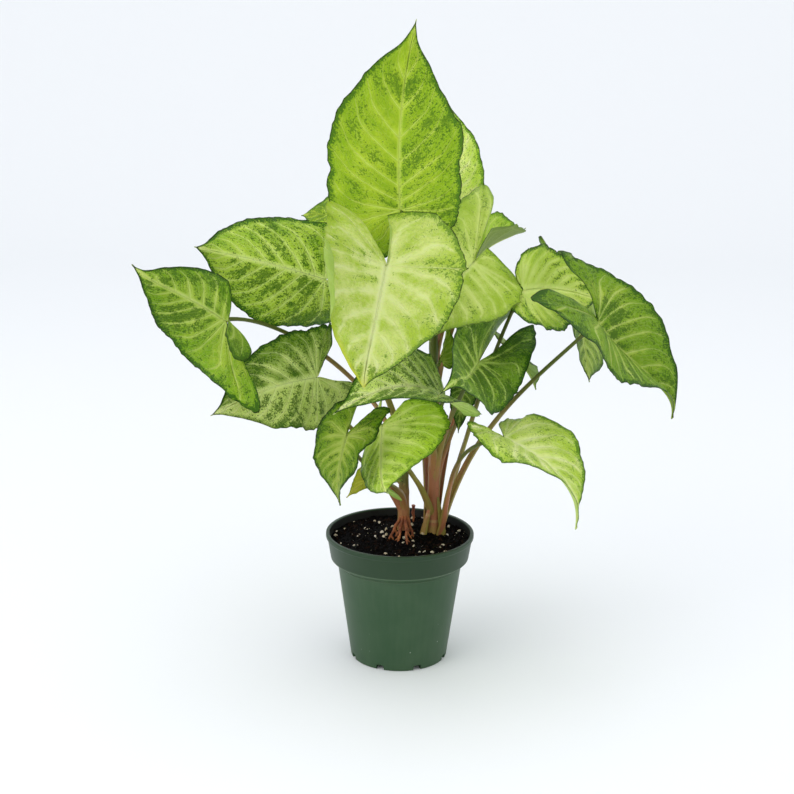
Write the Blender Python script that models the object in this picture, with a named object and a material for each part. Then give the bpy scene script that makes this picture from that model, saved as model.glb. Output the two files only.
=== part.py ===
"""A white butterfly syngonium in its round nursery pot, at its real size, in metres.

The origin is the centre of the pot's foot on the surface it stands on. +X is to the right of the
plant's front, +Y is behind it and +Z is up. Every leaf blade, each of the two shoots with its
petioles, the soil and the pot is one object of its own.
"""

import math
import random
from dataclasses import dataclass

import bmesh
import bpy
import numpy as np
from mathutils import Vector

# Pot
RIM_RADIUS = 0.054
RIM_DEPTH = 0.0030
RIM_EDGE = 0.0007
BAND_TOP_RADIUS = 0.0528
BAND_FOOT_RADIUS = 0.0505
BODY_TOP_RADIUS = 0.0455
FOOT_RADIUS = 0.0355
FOOT_CHAMFER = 0.0010
POT_HEIGHT = 0.095
BAND_FOOT_HEIGHT = 0.0765
BODY_TOP_HEIGHT = 0.0725
POT_WALL = 0.0014
POT_FLOOR = 0.0018
FOOT_RING_HEIGHT = 0.0020
FOOT_RING_WIDTH = 0.0032
CENTRE_PAD_RADIUS = 0.0120
CENTRE_PAD_SLOPE = 0.0020
POT_SIDES = 48
DRAIN_HOLES = 8
DRAIN_WIDTH = 0.0060
DRAIN_HEIGHT = 0.0040
DRAIN_INNER = 0.0315
DRAIN_OUTER = 0.0370

# Soil
SOIL_LEVEL = 0.0890
SOIL_RELIEF = 0.0013
SOIL_RINGS = 7
SOIL_SIDES = 36
SOIL_CALM = 0.0150
SOIL_BUMPS = 40
SOIL_BUMP_SIZES = (0.005, 0.012)
HOLE_TOP = SOIL_LEVEL + 0.010
GAP = 0.0003

# Blades, petioles and shoots
BLADE_THICKNESS = 0.0008
PETIOLE_SIDES = 6
STEM_SIDES = 10
PLUG_SIDES = 20
SHOOT_DEPTH = 0.030
COLLAR_HEIGHT = 0.0020
STEM_RADII = (0.0052, 0.0032)
ROOT_RADII = (0.0014, 0.0008)
ROOT_SIDES = 5
ROOT_TOP = 0.012
ROOT_CLEARANCE = 0.0024
PETIOLE_POINTS = 9
ROOT_POINTS = 6
MERGE = 0.00001
SEED = 7

# Finishes
POT_COLOUR = (0.05, 0.13, 0.06)
POT_ROUGHNESS = 0.40
SOIL_COLOUR = (0.020, 0.014, 0.010)
SOIL_ROUGHNESS = 0.95
PLANT_ROUGHNESS = 0.42

# Spans of the blade outline, counted from the sinus round the lobe to the tip
FAN_SPANS = 6
OUTLINE_SPANS = 13

# Rolled margin: added width as a share, part along the blade, turn and the length that it turns over
FURL_WIDTH = 0.22
FURL_SPAN = (0.02, 0.20, 0.50, 0.70)
FURL_TURN = math.radians(165.0)
FURL_ARC = 0.0060
UP = Vector((0.0, 0.0, 1.0))


@dataclass(frozen=True)
class Leaf:
    """One arrow-shaped blade and the petiole that carries it.

    Pairs are for the left and the right half, seen from the upper side with the tip away from the
    viewer. Outline values are shares of the blade's length from joint to tip, angles are in degrees.
    """

    joint: tuple
    tip: tuple
    face: tuple
    width: tuple = (0.40, 0.40)
    widest: float = 0.14
    full: float = 0.35
    lobe: tuple = (0.38, 0.38)
    spread: tuple = (0.22, 0.22)
    fold: tuple = (12.0, 12.0)
    curl: tuple = (0.0, 0.0)
    furl: tuple = (0.0, 0.0)
    arch: float = 0.05
    hook: float = 0.0
    sway: float = 0.0
    twist: float = 0.0
    lift: tuple = (0.0, 0.0)
    slant: tuple = (0.0, 0.0)
    wave: float = 0.010
    waves: float = 2.0
    phase: float = 0.0
    across: int = 3
    shoot: str = "shoot_right"
    foot: tuple = (0.0, 0.0, 0.0)
    leave: tuple = (0.0, 0.0, 1.0)
    arrive: tuple = (0.0, 0.0, 0.0)
    bow: tuple = (0.35, 0.35)
    ease: float = 1.0
    clear: float = 0.0
    radii: tuple = (0.0026, 0.0013)
    colour: tuple = (0.36, 0.56, 0.12)


@dataclass(frozen=True)
class Shoot:
    """A clump that stands in its own hole in the soil: its plug, its main stem and its roots."""

    centre: tuple
    radius: float
    stem: tuple
    roots: tuple
    colour: tuple


LEAVES = {
    "leaf_crown": Leaf(
        joint=(-0.002, 0.004, 0.3295), tip=(0.007, 0.037, 0.4545), face=(0.08, -0.97, 0.24),
        width=(0.41, 0.35), widest=0.18, full=0.98, lobe=(0.27, 0.16), spread=(0.14, 0.28),
        fold=(10, 16), curl=(0, 5), arch=-0.03, hook=-0.05, sway=0.033, twist=5, slant=(35, 30),
        across=4, foot=(0.0, 0.0, 0.250), arrive=(-0.25, -0.25, 1.0), colour=(0.30, 0.55, 0.06),
    ),
    "leaf_front": Leaf(
        joint=(-0.011, -0.064, 0.302), tip=(-0.023, -0.166, 0.246), face=(0.46, -0.47, 0.75),
        width=(0.46, 0.43), widest=0.04, full=0.43, lobe=(0.49, 0.44), spread=(0.02, 0.35),
        fold=(15, 5), curl=(10, 30), furl=(0, 1), arch=-0.035, hook=-0.05, sway=0.015, twist=15,
        lift=(-0.64, -0.67), slant=(55, -35), across=8, foot=(0.0, -0.001, 0.245),
        arrive=(-0.3, -1.0, 0.7), colour=(0.60, 0.76, 0.28),
    ),
    "leaf_rear_crown": Leaf(
        joint=(0.027, 0.074, 0.315), tip=(0.033, 0.116, 0.396), face=(-0.10, -0.88, 0.46),
        width=(0.40, 0.34), widest=0.22, full=0.60, lobe=(0.20, 0.08), spread=(0.20, 0.16),
        fold=(10, 15), curl=(0, 10), arch=0.0, hook=0.02, sway=-0.05, slant=(0, 20),
        foot=(0.001, 0.001, 0.215), arrive=(0.0, 0.2, 1.0), colour=(0.46, 0.66, 0.18),
    ),
    "leaf_right_pale": Leaf(
        joint=(0.049, -0.004, 0.295), tip=(0.018, -0.086, 0.258), face=(0.51, -0.51, 0.69),
        width=(0.45, 0.39), widest=0.13, full=0.77, lobe=(0.2, 0.8), spread=(0.02, 0.37),
        fold=(15, 15), curl=(0, -5), arch=-0.05, hook=0.01, sway=-0.04, twist=8,
        lift=(-0.07, -0.27), slant=(-15, -10), foot=(0.001, 0.0, 0.205),
        arrive=(0.5, -0.6, 0.8), colour=(0.47, 0.66, 0.26),
    ),
    "leaf_rear_right": Leaf(
        joint=(0.053, 0.037, 0.291), tip=(0.093, 0.107, 0.302), face=(0.21, -0.27, 0.94),
        width=(0.3, 0.33), widest=0.34, full=0.8, lobe=(0.28, 0.15), spread=(0.22, 0.16),
        fold=(46, 67), curl=(16, 9), arch=0.012, hook=-0.05, sway=0.048, twist=40,
        lift=(0.0, -0.09), slant=(0, 19), foot=(0.002, 0.002, 0.190), colour=(0.42, 0.62, 0.14),
    ),
    "leaf_mid_right": Leaf(
        joint=(0.084, -0.002, 0.275), tip=(0.145, 0.046, 0.258), face=(0.6, -0.55, 0.58),
        width=(0.39, 0.45), widest=0.19, full=0.31, lobe=(0.15, 0.33), spread=(0.27, 0.17),
        fold=(28, 8), curl=(13, -1), arch=-0.001, hook=0.013, sway=0.061, twist=-2,
        lift=(0.03, 0.01), slant=(32, 16), foot=(0.004, 0.001, 0.088), leave=(0.3, 0.3, 1.0),
        arrive=(0.4, -0.3, 1.0), colour=(0.42, 0.62, 0.18),
    ),
    "leaf_behind_right": Leaf(
        joint=(0.119, 0.068, 0.276), tip=(0.137, 0.027, 0.204), face=(0.42, -0.74, 0.53),
        width=(0.42, 0.29), widest=0.6, full=1.3, lobe=(0.2, 0.35), spread=(0.12, 0.1),
        fold=(-20, 15), curl=(-12, 42), arch=0.018, hook=-0.05, sway=0.059, twist=-11,
        lift=(0.0, 0.1), slant=(0, 5), foot=(0.002, 0.004, 0.100), leave=(0.1, 0.1, 1.0),
        arrive=(0.9, -0.3, 0.3), bow=(0.5, 0.3), colour=(0.24, 0.42, 0.12),
    ),
    "leaf_far_right": Leaf(
        joint=(0.133, -0.032, 0.259), tip=(0.189, -0.028, 0.193), face=(0.72, -0.36, 0.59),
        width=(0.48, 0.56), full=1.2, lobe=(0.38, 0.8), spread=(0.54, 0.59), fold=(45, 25),
        curl=(-9, -35), arch=-0.09, hook=0.18, sway=0.07, twist=-5, lift=(-0.64, -0.34),
        slant=(-62, 3), foot=(0.005, 0.002, 0.088), leave=(0.25, -0.1, 1.0),
        arrive=(0.8, -0.3, 0.9), bow=(0.45, 0.35), colour=(0.30, 0.56, 0.12),
    ),
    "leaf_up_left": Leaf(
        joint=(-0.054, -0.009, 0.283), tip=(-0.135, -0.063, 0.313), face=(0.60, -0.76, 0.24),
        width=(0.44, 0.43), widest=0.23, full=0.39, lobe=(0.37, 0.38), spread=(0.21, 0.23),
        fold=(-28, -18), curl=(-8, -17), arch=-0.04, hook=-0.05, sway=-0.025, slant=(-50, 45),
        wave=0.014, waves=1.6, shoot="shoot_left", foot=(0.0, 0.0, 0.150),
        leave=(-0.2, 0.5, 1.0), arrive=(-0.1, -1.0, 0.35), colour=(0.28, 0.52, 0.06),
    ),
    "leaf_far_left": Leaf(
        joint=(-0.117, -0.062, 0.264), tip=(-0.172, -0.088, 0.304), face=(0.23, -0.93, -0.29),
        width=(0.52, 0.55), widest=0.17, full=0.0, lobe=(0.62, 0.32), spread=(0.58, 0.22),
        fold=(-30, 20), curl=(10, 50), arch=-0.12, hook=0.20, sway=0.01, twist=40,
        lift=(0.45, 0.45), slant=(85, 120), shoot="shoot_left", foot=(-0.001, -0.001, 0.140),
        leave=(-0.2, 0.6, 1.0), arrive=(-0.5, -1.0, 0.1), ease=0.3, colour=(0.32, 0.56, 0.10),
    ),
    "leaf_low_left": Leaf(
        joint=(-0.059, -0.023, 0.216), tip=(-0.124, -0.086, 0.206), face=(0.51, -0.61, 0.61),
        width=(0.39, 0.38), widest=0.13, full=0.50, lobe=(0.40, 0.25), spread=(0.13, 0.41),
        fold=(-10, 10), curl=(-5, 0), arch=0.045, hook=-0.05, sway=-0.035, lift=(0.13, 0.04),
        slant=(-60, 10), wave=0.024, waves=2.6, phase=0.2, shoot="shoot_left",
        foot=(0.0, -0.001, 0.125), leave=(-0.8, 0.3, 0.8), arrive=(-0.3, -0.8, 0.9),
        colour=(0.38, 0.58, 0.22),
    ),
    "leaf_rear_left": Leaf(
        joint=(-0.028, 0.064, 0.314), tip=(-0.077, 0.112, 0.310), face=(-0.10, -0.80, 0.55),
        lobe=(0.20, 0.20), foot=(-0.0045, 0.004, 0.088), colour=(0.40, 0.66, 0.06),
    ),
    "leaf_centre_low": Leaf(
        joint=(0.029, -0.043, 0.207), tip=(-0.042, -0.106, 0.214), face=(0.38, -0.32, 0.87),
        width=(0.33, 0.43), widest=0.18, full=0.72, lobe=(0.14, 0.14), spread=(0.12, 0.20),
        fold=(25, 15), arch=0.16, sway=-0.01, twist=-5, lift=(-1.0, -1.0), wave=0.016,
        waves=1.8, foot=(-0.001, -0.002, 0.130), clear=0.0003, colour=(0.26, 0.46, 0.12),
    ),
    "leaf_left_droop": Leaf(
        joint=(-0.036, -0.086, 0.192), tip=(-0.04, -0.101, 0.15), face=(-0.44, -0.83, 0.35),
        width=(0.45, 0.48), widest=0.26, full=1.4, lobe=(0.62, 0.6), spread=(0.53, 0.02),
        fold=(29, 5), curl=(-28, -3), arch=0.09, hook=0.034, sway=0.001, twist=35,
        lift=(0.05, -0.15), slant=(-60, 34), shoot="shoot_left", foot=(-0.001, -0.002, 0.105),
        leave=(-0.5, 0.0, 1.0), arrive=(-0.15, -0.7, 0.75), colour=(0.34, 0.56, 0.10),
    ),
    "leaf_front_low": Leaf(
        joint=(-0.013, -0.061, 0.192), tip=(-0.009, -0.142, 0.172), face=(-0.35, -0.24, 0.91),
        width=(0.56, 0.26), widest=0.11, full=0.15, lobe=(0.24, 0.42), spread=(0.29, 0.19),
        fold=(-2, -21), curl=(-13, -3), arch=-0.107, hook=0.011, sway=-0.068, twist=12,
        lift=(-0.06, 0.0), slant=(-13, -48), foot=(-0.002, -0.002, 0.105),
        leave=(-0.3, -0.3, 1.0), clear=0.0003, colour=(0.42, 0.62, 0.12),
    ),
    "leaf_right_low": Leaf(
        joint=(0.07, -0.053, 0.182), tip=(0.117, -0.094, 0.135), face=(0.41, -0.44, 0.8),
        width=(0.56, 0.56), widest=0.3, full=-0.09, lobe=(0.19, 0.15), spread=(0.42, 0.5),
        fold=(18, 19), curl=(-2, -35), arch=0.068, hook=0.16, sway=0.056, twist=-39,
        lift=(0.16, 0.03), slant=(-59, 69), foot=(0.0055, -0.003, 0.088),
        leave=(0.2, -0.2, 1.0), arrive=(1.0, -0.3, 0.15), colour=(0.58, 0.74, 0.28),
    ),
    "leaf_centre_right": Leaf(
        joint=(0.053, -0.023, 0.228), tip=(0.025, -0.116, 0.23), face=(0.56, -0.15, 0.81),
        width=(0.35, 0.38), widest=0.05, full=0.86, lobe=(0.67, 0.98), spread=(0.27, 0.02),
        fold=(-7, 21), curl=(-17, 33), arch=-0.097, hook=0.22, sway=0.033, twist=-3,
        lift=(-0.05, -0.05), slant=(62, 70), foot=(0.001, -0.002, 0.120),
        colour=(0.20, 0.42, 0.06),
    ),
    "leaf_hidden_right": Leaf(
        joint=(0.079, 0.066, 0.218), tip=(0.106, 0.108, 0.176), face=(0.40, -0.10, 0.90),
        width=(0.34, 0.30), lobe=(0.15, 0.15), foot=(0.002, 0.003, 0.120), colour=(0.40, 0.60, 0.16),
    ),
    "leaf_yellow": Leaf(
        joint=(-0.012, -0.052, 0.158), tip=(-0.036, -0.074, 0.146), face=(-0.30, -0.70, 0.60),
        width=(0.36, 0.36), lobe=(0.25, 0.25), across=2, shoot="shoot_left",
        foot=(0.001, -0.002, 0.100), radii=(0.0022, 0.0011), colour=(0.62, 0.58, 0.10),
    ),
    "leaf_young_low": Leaf(
        joint=(0.045, 0.006, 0.202), tip=(0.041, -0.004, 0.172), face=(-0.30, -0.90, 0.30),
        width=(0.34, 0.30), lobe=(0.15, 0.15), across=2, foot=(0.002, -0.002, 0.120),
        radii=(0.0020, 0.0010), colour=(0.10, 0.26, 0.04),
    ),
    "leaf_young_curl": Leaf(
        joint=(0.009, 0.002, 0.203), tip=(-0.001, -0.008, 0.238), face=(0.50, -0.70, 0.30),
        width=(0.26, 0.26), lobe=(0.15, 0.15), fold=(50, 50), across=2,
        foot=(-0.0012, -0.0008, 0.163), radii=(0.0020, 0.0010), colour=(0.30, 0.52, 0.10),
    ),
    "leaf_young_pale": Leaf(
        joint=(0.028, -0.002, 0.224), tip=(0.032, 0.006, 0.250), face=(0.60, -0.60, 0.40),
        width=(0.34, 0.34), lobe=(0.15, 0.15), fold=(45, 45), across=2,
        foot=(0.0005, -0.0015, 0.172), radii=(0.0020, 0.0010), colour=(0.38, 0.58, 0.20),
    ),
}

SHOOTS = {
    "shoot_right": Shoot(
        centre=(0.0250, 0.0140),
        radius=0.0098,
        stem=(
            (0.0245, 0.0130, 0.080),
            (0.0245, 0.0110, 0.140),
            (0.0235, 0.0070, 0.200),
            (0.0215, 0.0030, 0.262),
        ),
        roots=(),
        colour=(0.34, 0.20, 0.09),
    ),
    "shoot_left": Shoot(
        centre=(0.0030, 0.0180),
        radius=0.0068,
        stem=((0.0030, 0.0180, 0.080), (0.0025, 0.0160, 0.120), (0.0015, 0.0130, 0.165)),
        roots=(
            ((0.0005, 0.0155), (-0.0090, -0.0030)),
            ((0.0020, 0.0140), (-0.0015, -0.0090)),
            ((0.0040, 0.0140), (0.0055, -0.0150)),
            ((0.0055, 0.0155), (0.0110, 0.0000)),
        ),
        colour=(0.40, 0.28, 0.12),
    ),
}


def catmull_rom(points, steps):
    """Points on a smooth curve through the given ones, with this many steps for each span."""
    points = np.asarray(points, float)
    padded = np.vstack([2 * points[0] - points[1], points, 2 * points[-1] - points[-2]])
    share = (np.arange(steps) / steps)[:, None]
    rows = []
    for first, start, end, last in zip(padded, padded[1:], padded[2:], padded[3:]):
        rows.append(
            start
            + 0.5 * share * (end - first)
            + share**2 * (first - 2.5 * start + 2 * end - 0.5 * last)
            + share**3 * (1.5 * (start - end) + 0.5 * (last - first))
        )
    return np.vstack([*rows, points[-1:]])


def outline(leaf, side, steps):
    """Margin of one half as (along, out) shares of the length, from the sinus to the tip."""
    wide, lobe, spread = leaf.width[side], leaf.lobe[side], leaf.spread[side]
    back = [
        (0.0, 0.0),
        (-0.42 * lobe, 0.28 * spread),
        (-0.86 * lobe, 0.60 * spread),
        (-lobe, spread),
        (-0.80 * lobe, spread + 0.55 * (wide - spread)),
        (-0.38 * lobe, spread + 0.86 * (wide - spread)),
        (0.0, spread + 0.97 * (wide - spread)),
    ]
    slim = np.array([1.0, 0.86, 0.64, 0.40, 0.19, 0.055, 0.0])
    broad = np.array([1.0, 0.97, 0.80, 0.52, 0.24, 0.065, 0.0])
    shares = leaf.full * broad + (1 - leaf.full) * slim
    along = leaf.widest + (1 - leaf.widest) * np.array([0.0, 0.23, 0.46, 0.66, 0.83, 0.95, 1.0])
    front = list(zip(along, wide * shares))
    return catmull_rom(back + front, steps)


def furl_at(leaf, side, along):
    """Width that the rolled margin adds at these places along the blade, as a share."""
    return FURL_WIDTH * leaf.furl[side] * np.interp(along, FURL_SPAN, (0.0, 1.0, 1.0, 0.0))


def furled(start, beyond):
    """Steps sideways and upwards of a margin that rolls over from this angle, this far beyond its edge."""
    pace = FURL_TURN / FURL_ARC
    turned = np.minimum(beyond, FURL_ARC)
    straight = beyond - turned
    over = (np.sin(start + pace * turned) - np.sin(start)) / pace + np.cos(start + FURL_TURN) * straight
    rise = (np.cos(start) - np.cos(start + pace * turned)) / pace + np.sin(start + FURL_TURN) * straight
    return over, rise


def midrib(leaf, length, along):
    """Point, tangent and upper-side direction of the midrib in the leaf's own axes."""
    q = np.maximum(along, 0.0)
    bow = 4 * leaf.arch * q * (1 - q) + leaf.hook * (q - q**8)
    slope = 4 * leaf.arch * (1 - 2 * q) + leaf.hook * (1 - 8 * q**7)
    bend = 4 * leaf.sway * q * (1 - q)
    turn = 4 * leaf.sway * (1 - 2 * q)
    back = np.minimum(along, 0.0)
    point = np.stack([along, bend + turn * back, bow + slope * back], -1) * length
    tangent = np.stack([np.ones_like(q), turn, slope], -1)
    tangent /= np.linalg.norm(tangent, axis=-1, keepdims=True)
    tilt = np.radians(leaf.twist) * q
    upper = np.stack([np.zeros_like(q), -np.sin(tilt), np.cos(tilt)], -1)
    upper = upper - tangent * np.sum(upper * tangent, axis=-1, keepdims=True)
    upper /= np.linalg.norm(upper, axis=-1, keepdims=True)
    return point, tangent, upper


def section(leaf, side, out, wide):
    """Where a point this far out lies in its cross-section, as (sideways, towards the upper side)."""
    reach = np.linspace(0.0, 1.25, 25)
    step = reach[1]
    angle = np.radians(leaf.fold[side] + leaf.curl[side] * reach)
    over = np.concatenate([[0.0], np.cumsum(0.5 * (np.cos(angle[1:]) + np.cos(angle[:-1])) * step)])
    rise = np.concatenate([[0.0], np.cumsum(0.5 * (np.sin(angle[1:]) + np.sin(angle[:-1])) * step)])
    share = out / wide
    return np.interp(share, reach, over) * wide, np.interp(share, reach, rise) * wide


def half_grid(leaf, side, steps, across):
    """Mid-surface of one half in the leaf's own axes: rows from sinus to tip, columns outwards."""
    joint, tip = np.array(leaf.joint), np.array(leaf.tip)
    length = np.linalg.norm(tip - joint)
    edge = outline(leaf, side, steps)
    root = np.maximum(edge[:, 0], 0.0)
    root = root * (0.35 + 0.65 * root)
    root[: FAN_SPANS * steps + 1] = 0.0
    t = np.linspace(0.0, 1.0, across + 1)[None, :]
    along = root[:, None] + (edge[:, :1] - root[:, None]) * t**1.25
    added = furl_at(leaf, side, edge[:, :1])
    reach = edge[:, 1:] * (1 + added) * t
    out = np.minimum(reach, edge[:, 1:])
    point, tangent, upper = midrib(leaf, length, along)
    hand = 1 - 2 * (side == 0)
    sideways = np.cross(tangent, upper) * hand
    over, rise = section(leaf, side, out * length, leaf.width[side] * length)
    start = np.radians(leaf.fold[side] + leaf.curl[side] * out / leaf.width[side])
    roll_over, roll_rise = furled(start, (reach - out) * length)
    over, rise = over + roll_over, rise + roll_rise
    turn = np.radians(leaf.slant[side]) * np.maximum(0.3 - along, 0.0)
    over, rise = over * np.cos(turn) - rise * np.sin(turn), over * np.sin(turn) + rise * np.cos(turn)
    rise = rise + leaf.lift[side] * np.minimum(along, 0.0) ** 2 * length
    ripple = np.sin(2 * math.pi * (leaf.waves * along + leaf.phase + 0.5 * side))
    rise = rise + leaf.wave * length * ripple * t**2 * np.clip(out / leaf.width[side], 0, 1)
    return point + sideways * over[..., None] + upper * rise[..., None]


def leaf_axes(leaf):
    """Columns: along the blade, towards its left half and out of its upper side."""
    along = (Vector(leaf.tip) - Vector(leaf.joint)).normalized()
    upper = Vector(leaf.face)
    upper = (upper - along * upper.dot(along)).normalized()
    return np.array([along, upper.cross(along), upper]).T


def blade_surface(leaf, steps=1, across=None):
    """Vertices and quads or triangles of the blade's mid-surface, both halves sewn at the midrib."""
    across = across or leaf.across
    axes = leaf_axes(leaf)
    points, faces, index = [np.array(leaf.joint)], [], {}
    rows = OUTLINE_SPANS * steps
    for side in (0, 1):
        grid = half_grid(leaf, side, steps, across)
        grid = grid @ axes.T + np.array(leaf.joint)
        for row in range(rows + 1):
            for col in range(across + 1):
                if row <= FAN_SPANS * steps and col == 0 or row == 0:
                    index[side, row, col] = 0
                elif row == rows:
                    key = (0, rows, 0)
                    if key not in index:
                        index[key] = len(points)
                        points.append(grid[row, 0])
                    index[side, row, col] = index[key]
                elif col == 0 and side == 1:
                    index[side, row, col] = index[0, row, 0]
                else:
                    index[side, row, col] = len(points)
                    points.append(grid[row, col])
        for row in range(rows):
            for col in range(across):
                corners = [index[side, row, col], index[side, row + 1, col],
                           index[side, row + 1, col + 1], index[side, row, col + 1]]
                if side == 1:
                    corners.reverse()
                kept = [v for i, v in enumerate(corners) if v != corners[i - 1]]
                if len(kept) >= 3:
                    faces.append(kept)
    return np.array(points), faces


def thicken(points, faces, thickness):
    """A closed blade: the surface moved half its thickness each way, split alike on both faces."""
    triangles = []
    for face in faces:
        triangles.append(face[:3])
        if len(face) == 4:
            triangles.append([face[0], face[2], face[3]])
    triangles = np.array(triangles)
    corners = points[triangles]
    normals = np.cross(corners[:, 1] - corners[:, 0], corners[:, 2] - corners[:, 0])
    normals /= np.linalg.norm(normals, axis=1, keepdims=True)
    total = np.zeros_like(points)
    for k in range(3):
        np.add.at(total, triangles[:, k], normals)
    total /= np.linalg.norm(total, axis=1, keepdims=True)
    upper = points + total * thickness / 2
    lower = points - total * thickness / 2
    count = len(points)
    shell = [list(t) for t in triangles] + [[a + count, c + count, b + count] for a, b, c in triangles]
    edges = {}
    for a, b, c in triangles:
        for pair in ((a, b), (b, c), (c, a)):
            edges[pair] = True
    for a, b in edges:
        if (b, a) not in edges:
            shell.append([a, a + count, b + count])
            shell.append([a, b + count, b])
    return np.vstack([upper, lower]), shell


def material(name, colour, roughness, metallic=0.0):
    """A plain finish with this colour."""
    finish = bpy.data.materials.new(name)
    finish.use_nodes = True
    shader = finish.node_tree.nodes["Principled BSDF"]
    shader.inputs["Base Color"].default_value = (*colour, 1.0)
    shader.inputs["Roughness"].default_value = roughness
    shader.inputs["Metallic"].default_value = metallic
    return finish


def new_object(name, points, faces, finish):
    """A mesh object in the scene, with its place in its mesh."""
    mesh = bpy.data.meshes.new(name)
    mesh.from_pydata([tuple(p) for p in points], [], [list(map(int, f)) for f in faces])
    mesh.validate()
    mesh.shade_smooth()
    obj = bpy.data.objects.new(name, mesh)
    obj.data.materials.append(finish)
    bpy.context.scene.collection.objects.link(obj)
    return obj


def hermite(start, end, leave, arrive, count):
    """Points on one smooth arc that leaves and arrives in the given directions."""
    share = np.linspace(0.0, 1.0, count)[:, None]
    start, end, leave, arrive = (np.asarray(v, float) for v in (start, end, leave, arrive))
    return (
        (2 * share**3 - 3 * share**2 + 1) * start
        + (share**3 - 2 * share**2 + share) * leave
        + (3 * share**2 - 2 * share**3) * end
        + (share**3 - share**2) * arrive
    )


def tube(route, radii, sides):
    """Points and faces of a closed round tube along a route."""
    route = [Vector(p) for p in route]
    side = UP.cross(Vector((0.3, 1.0, 0.0))).normalized()
    points, faces = [], []
    for i, centre in enumerate(route):
        ahead = (route[min(i + 1, len(route) - 1)] - route[max(i - 1, 0)]).normalized()
        side = (side - ahead * side.dot(ahead)).normalized()
        other = ahead.cross(side)
        for k in range(sides):
            angle = 2 * math.pi * k / sides
            points.append(centre + (side * math.cos(angle) + other * math.sin(angle)) * radii[i])
    for i in range(len(route) - 1):
        for k in range(sides):
            a, b = i * sides + k, i * sides + (k + 1) % sides
            faces.append([a, b, b + sides, a + sides])
    faces.append(list(range(sides))[::-1])
    last = (len(route) - 1) * sides
    faces.append([last + k for k in range(sides)])
    return points, faces


def stem_point(shoot, height):
    """Point on the shoot's main stem at this height."""
    route = np.array(shoot.stem)
    return Vector([float(np.interp(height, route[:, 2], route[:, k])) for k in range(3)])


def petiole_route(leaf, count=PETIOLE_POINTS):
    """Centre line of a leaf's petiole, ending clear of the blade's underside."""
    upper = Vector(leaf_axes(leaf)[:, 2])
    joint = Vector(leaf.joint)
    foot = stem_point(SHOOTS[leaf.shoot], leaf.foot[2]) + Vector((leaf.foot[0], leaf.foot[1], 0.0))
    span = (joint - foot).length
    arrive = Vector(leaf.arrive)
    if arrive.length < 1e-6:
        arrive = 0.6 * (joint - foot).normalized() + 0.5 * upper
    arrive.normalize()
    lean = math.sqrt(max(0.0, 1 - arrive.dot(upper) ** 2))
    droop = leaf.ease * math.sin(math.radians(max(0.0, -min(leaf.fold))))
    drop = BLADE_THICKNESS / 2 + 1.2 * GAP + leaf.clear + leaf.radii[1] * (lean + droop)
    end = joint - upper * drop
    leave = Vector(leaf.leave).normalized()
    return hermite(foot, end, leave * span * 3 * leaf.bow[0], arrive * span * 3 * leaf.bow[1], count)


def add_blades():
    """Every leaf blade."""
    for name, leaf in LEAVES.items():
        finish = material(name, leaf.colour, PLANT_ROUGHNESS)
        points, faces = thicken(*blade_surface(leaf), BLADE_THICKNESS)
        new_object(name, points, faces, finish)


def cylinder(centre, radius, bottom, top, sides):
    """Points and faces of an upright closed cylinder."""
    points = []
    for height in (bottom, top):
        for k in range(sides):
            angle = 2 * math.pi * k / sides
            x, y = radius * math.cos(angle), radius * math.sin(angle)
            points.append((centre[0] + x, centre[1] + y, height))
    faces = [[k, (k + 1) % sides, (k + 1) % sides + sides, k + sides] for k in range(sides)]
    faces.append(list(range(sides))[::-1])
    faces.append([sides + k for k in range(sides)])
    return points, faces


def taper(first, last, count):
    """Radii that shrink quickly at first and then slowly, as a sheathed petiole does."""
    share = np.linspace(0.0, 1.0, count)
    return last + (first - last) * (1 - share) ** 1.5


def keep_largest(mesh):
    """The same mesh without the loose scraps and doubled faces that a union can leave."""
    shape = bmesh.new()
    shape.from_mesh(mesh)
    bmesh.ops.remove_doubles(shape, verts=shape.verts, dist=MERGE)
    twins = {}
    for face in shape.faces:
        twins.setdefault(frozenset(face.verts), []).append(face)
    doubled = [face for group in twins.values() if len(group) > 1 for face in group]
    bmesh.ops.delete(shape, geom=doubled, context="FACES")
    waiting, bodies = set(shape.verts), []
    while waiting:
        body, edge = set(), [waiting.pop()]
        while edge:
            vert = edge.pop()
            body.add(vert)
            found = {link.other_vert(vert) for link in vert.link_edges} & waiting
            waiting -= found
            edge.extend(found)
        bodies.append(body)
    bodies.sort(key=len)
    scraps = [vert for body in bodies[:-1] for vert in body]
    bmesh.ops.delete(shape, geom=scraps, context="VERTS")
    shape.to_mesh(mesh)
    shape.free()
    return mesh


def fused(name, pieces, finish):
    """One closed object from overlapping pieces, each given as points and faces."""
    group = bpy.data.collections.new(name + "_pieces")
    bpy.context.scene.collection.children.link(group)
    base = new_object(name, *pieces[0], finish)
    for points, faces in pieces[1:]:
        piece = new_object(name + "_piece", points, faces, finish)
        bpy.context.scene.collection.objects.unlink(piece)
        group.objects.link(piece)
    join = base.modifiers.new("join", "BOOLEAN")
    join.operation = "UNION"
    join.solver = "EXACT"
    join.operand_type = "COLLECTION"
    join.collection = group
    graph = bpy.context.evaluated_depsgraph_get()
    joined = bpy.data.meshes.new_from_object(base.evaluated_get(graph))
    base.modifiers.remove(join)
    base.data = keep_largest(joined)
    for piece in list(group.objects):
        bpy.data.objects.remove(piece, do_unlink=True)
    bpy.data.collections.remove(group)
    return base


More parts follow.
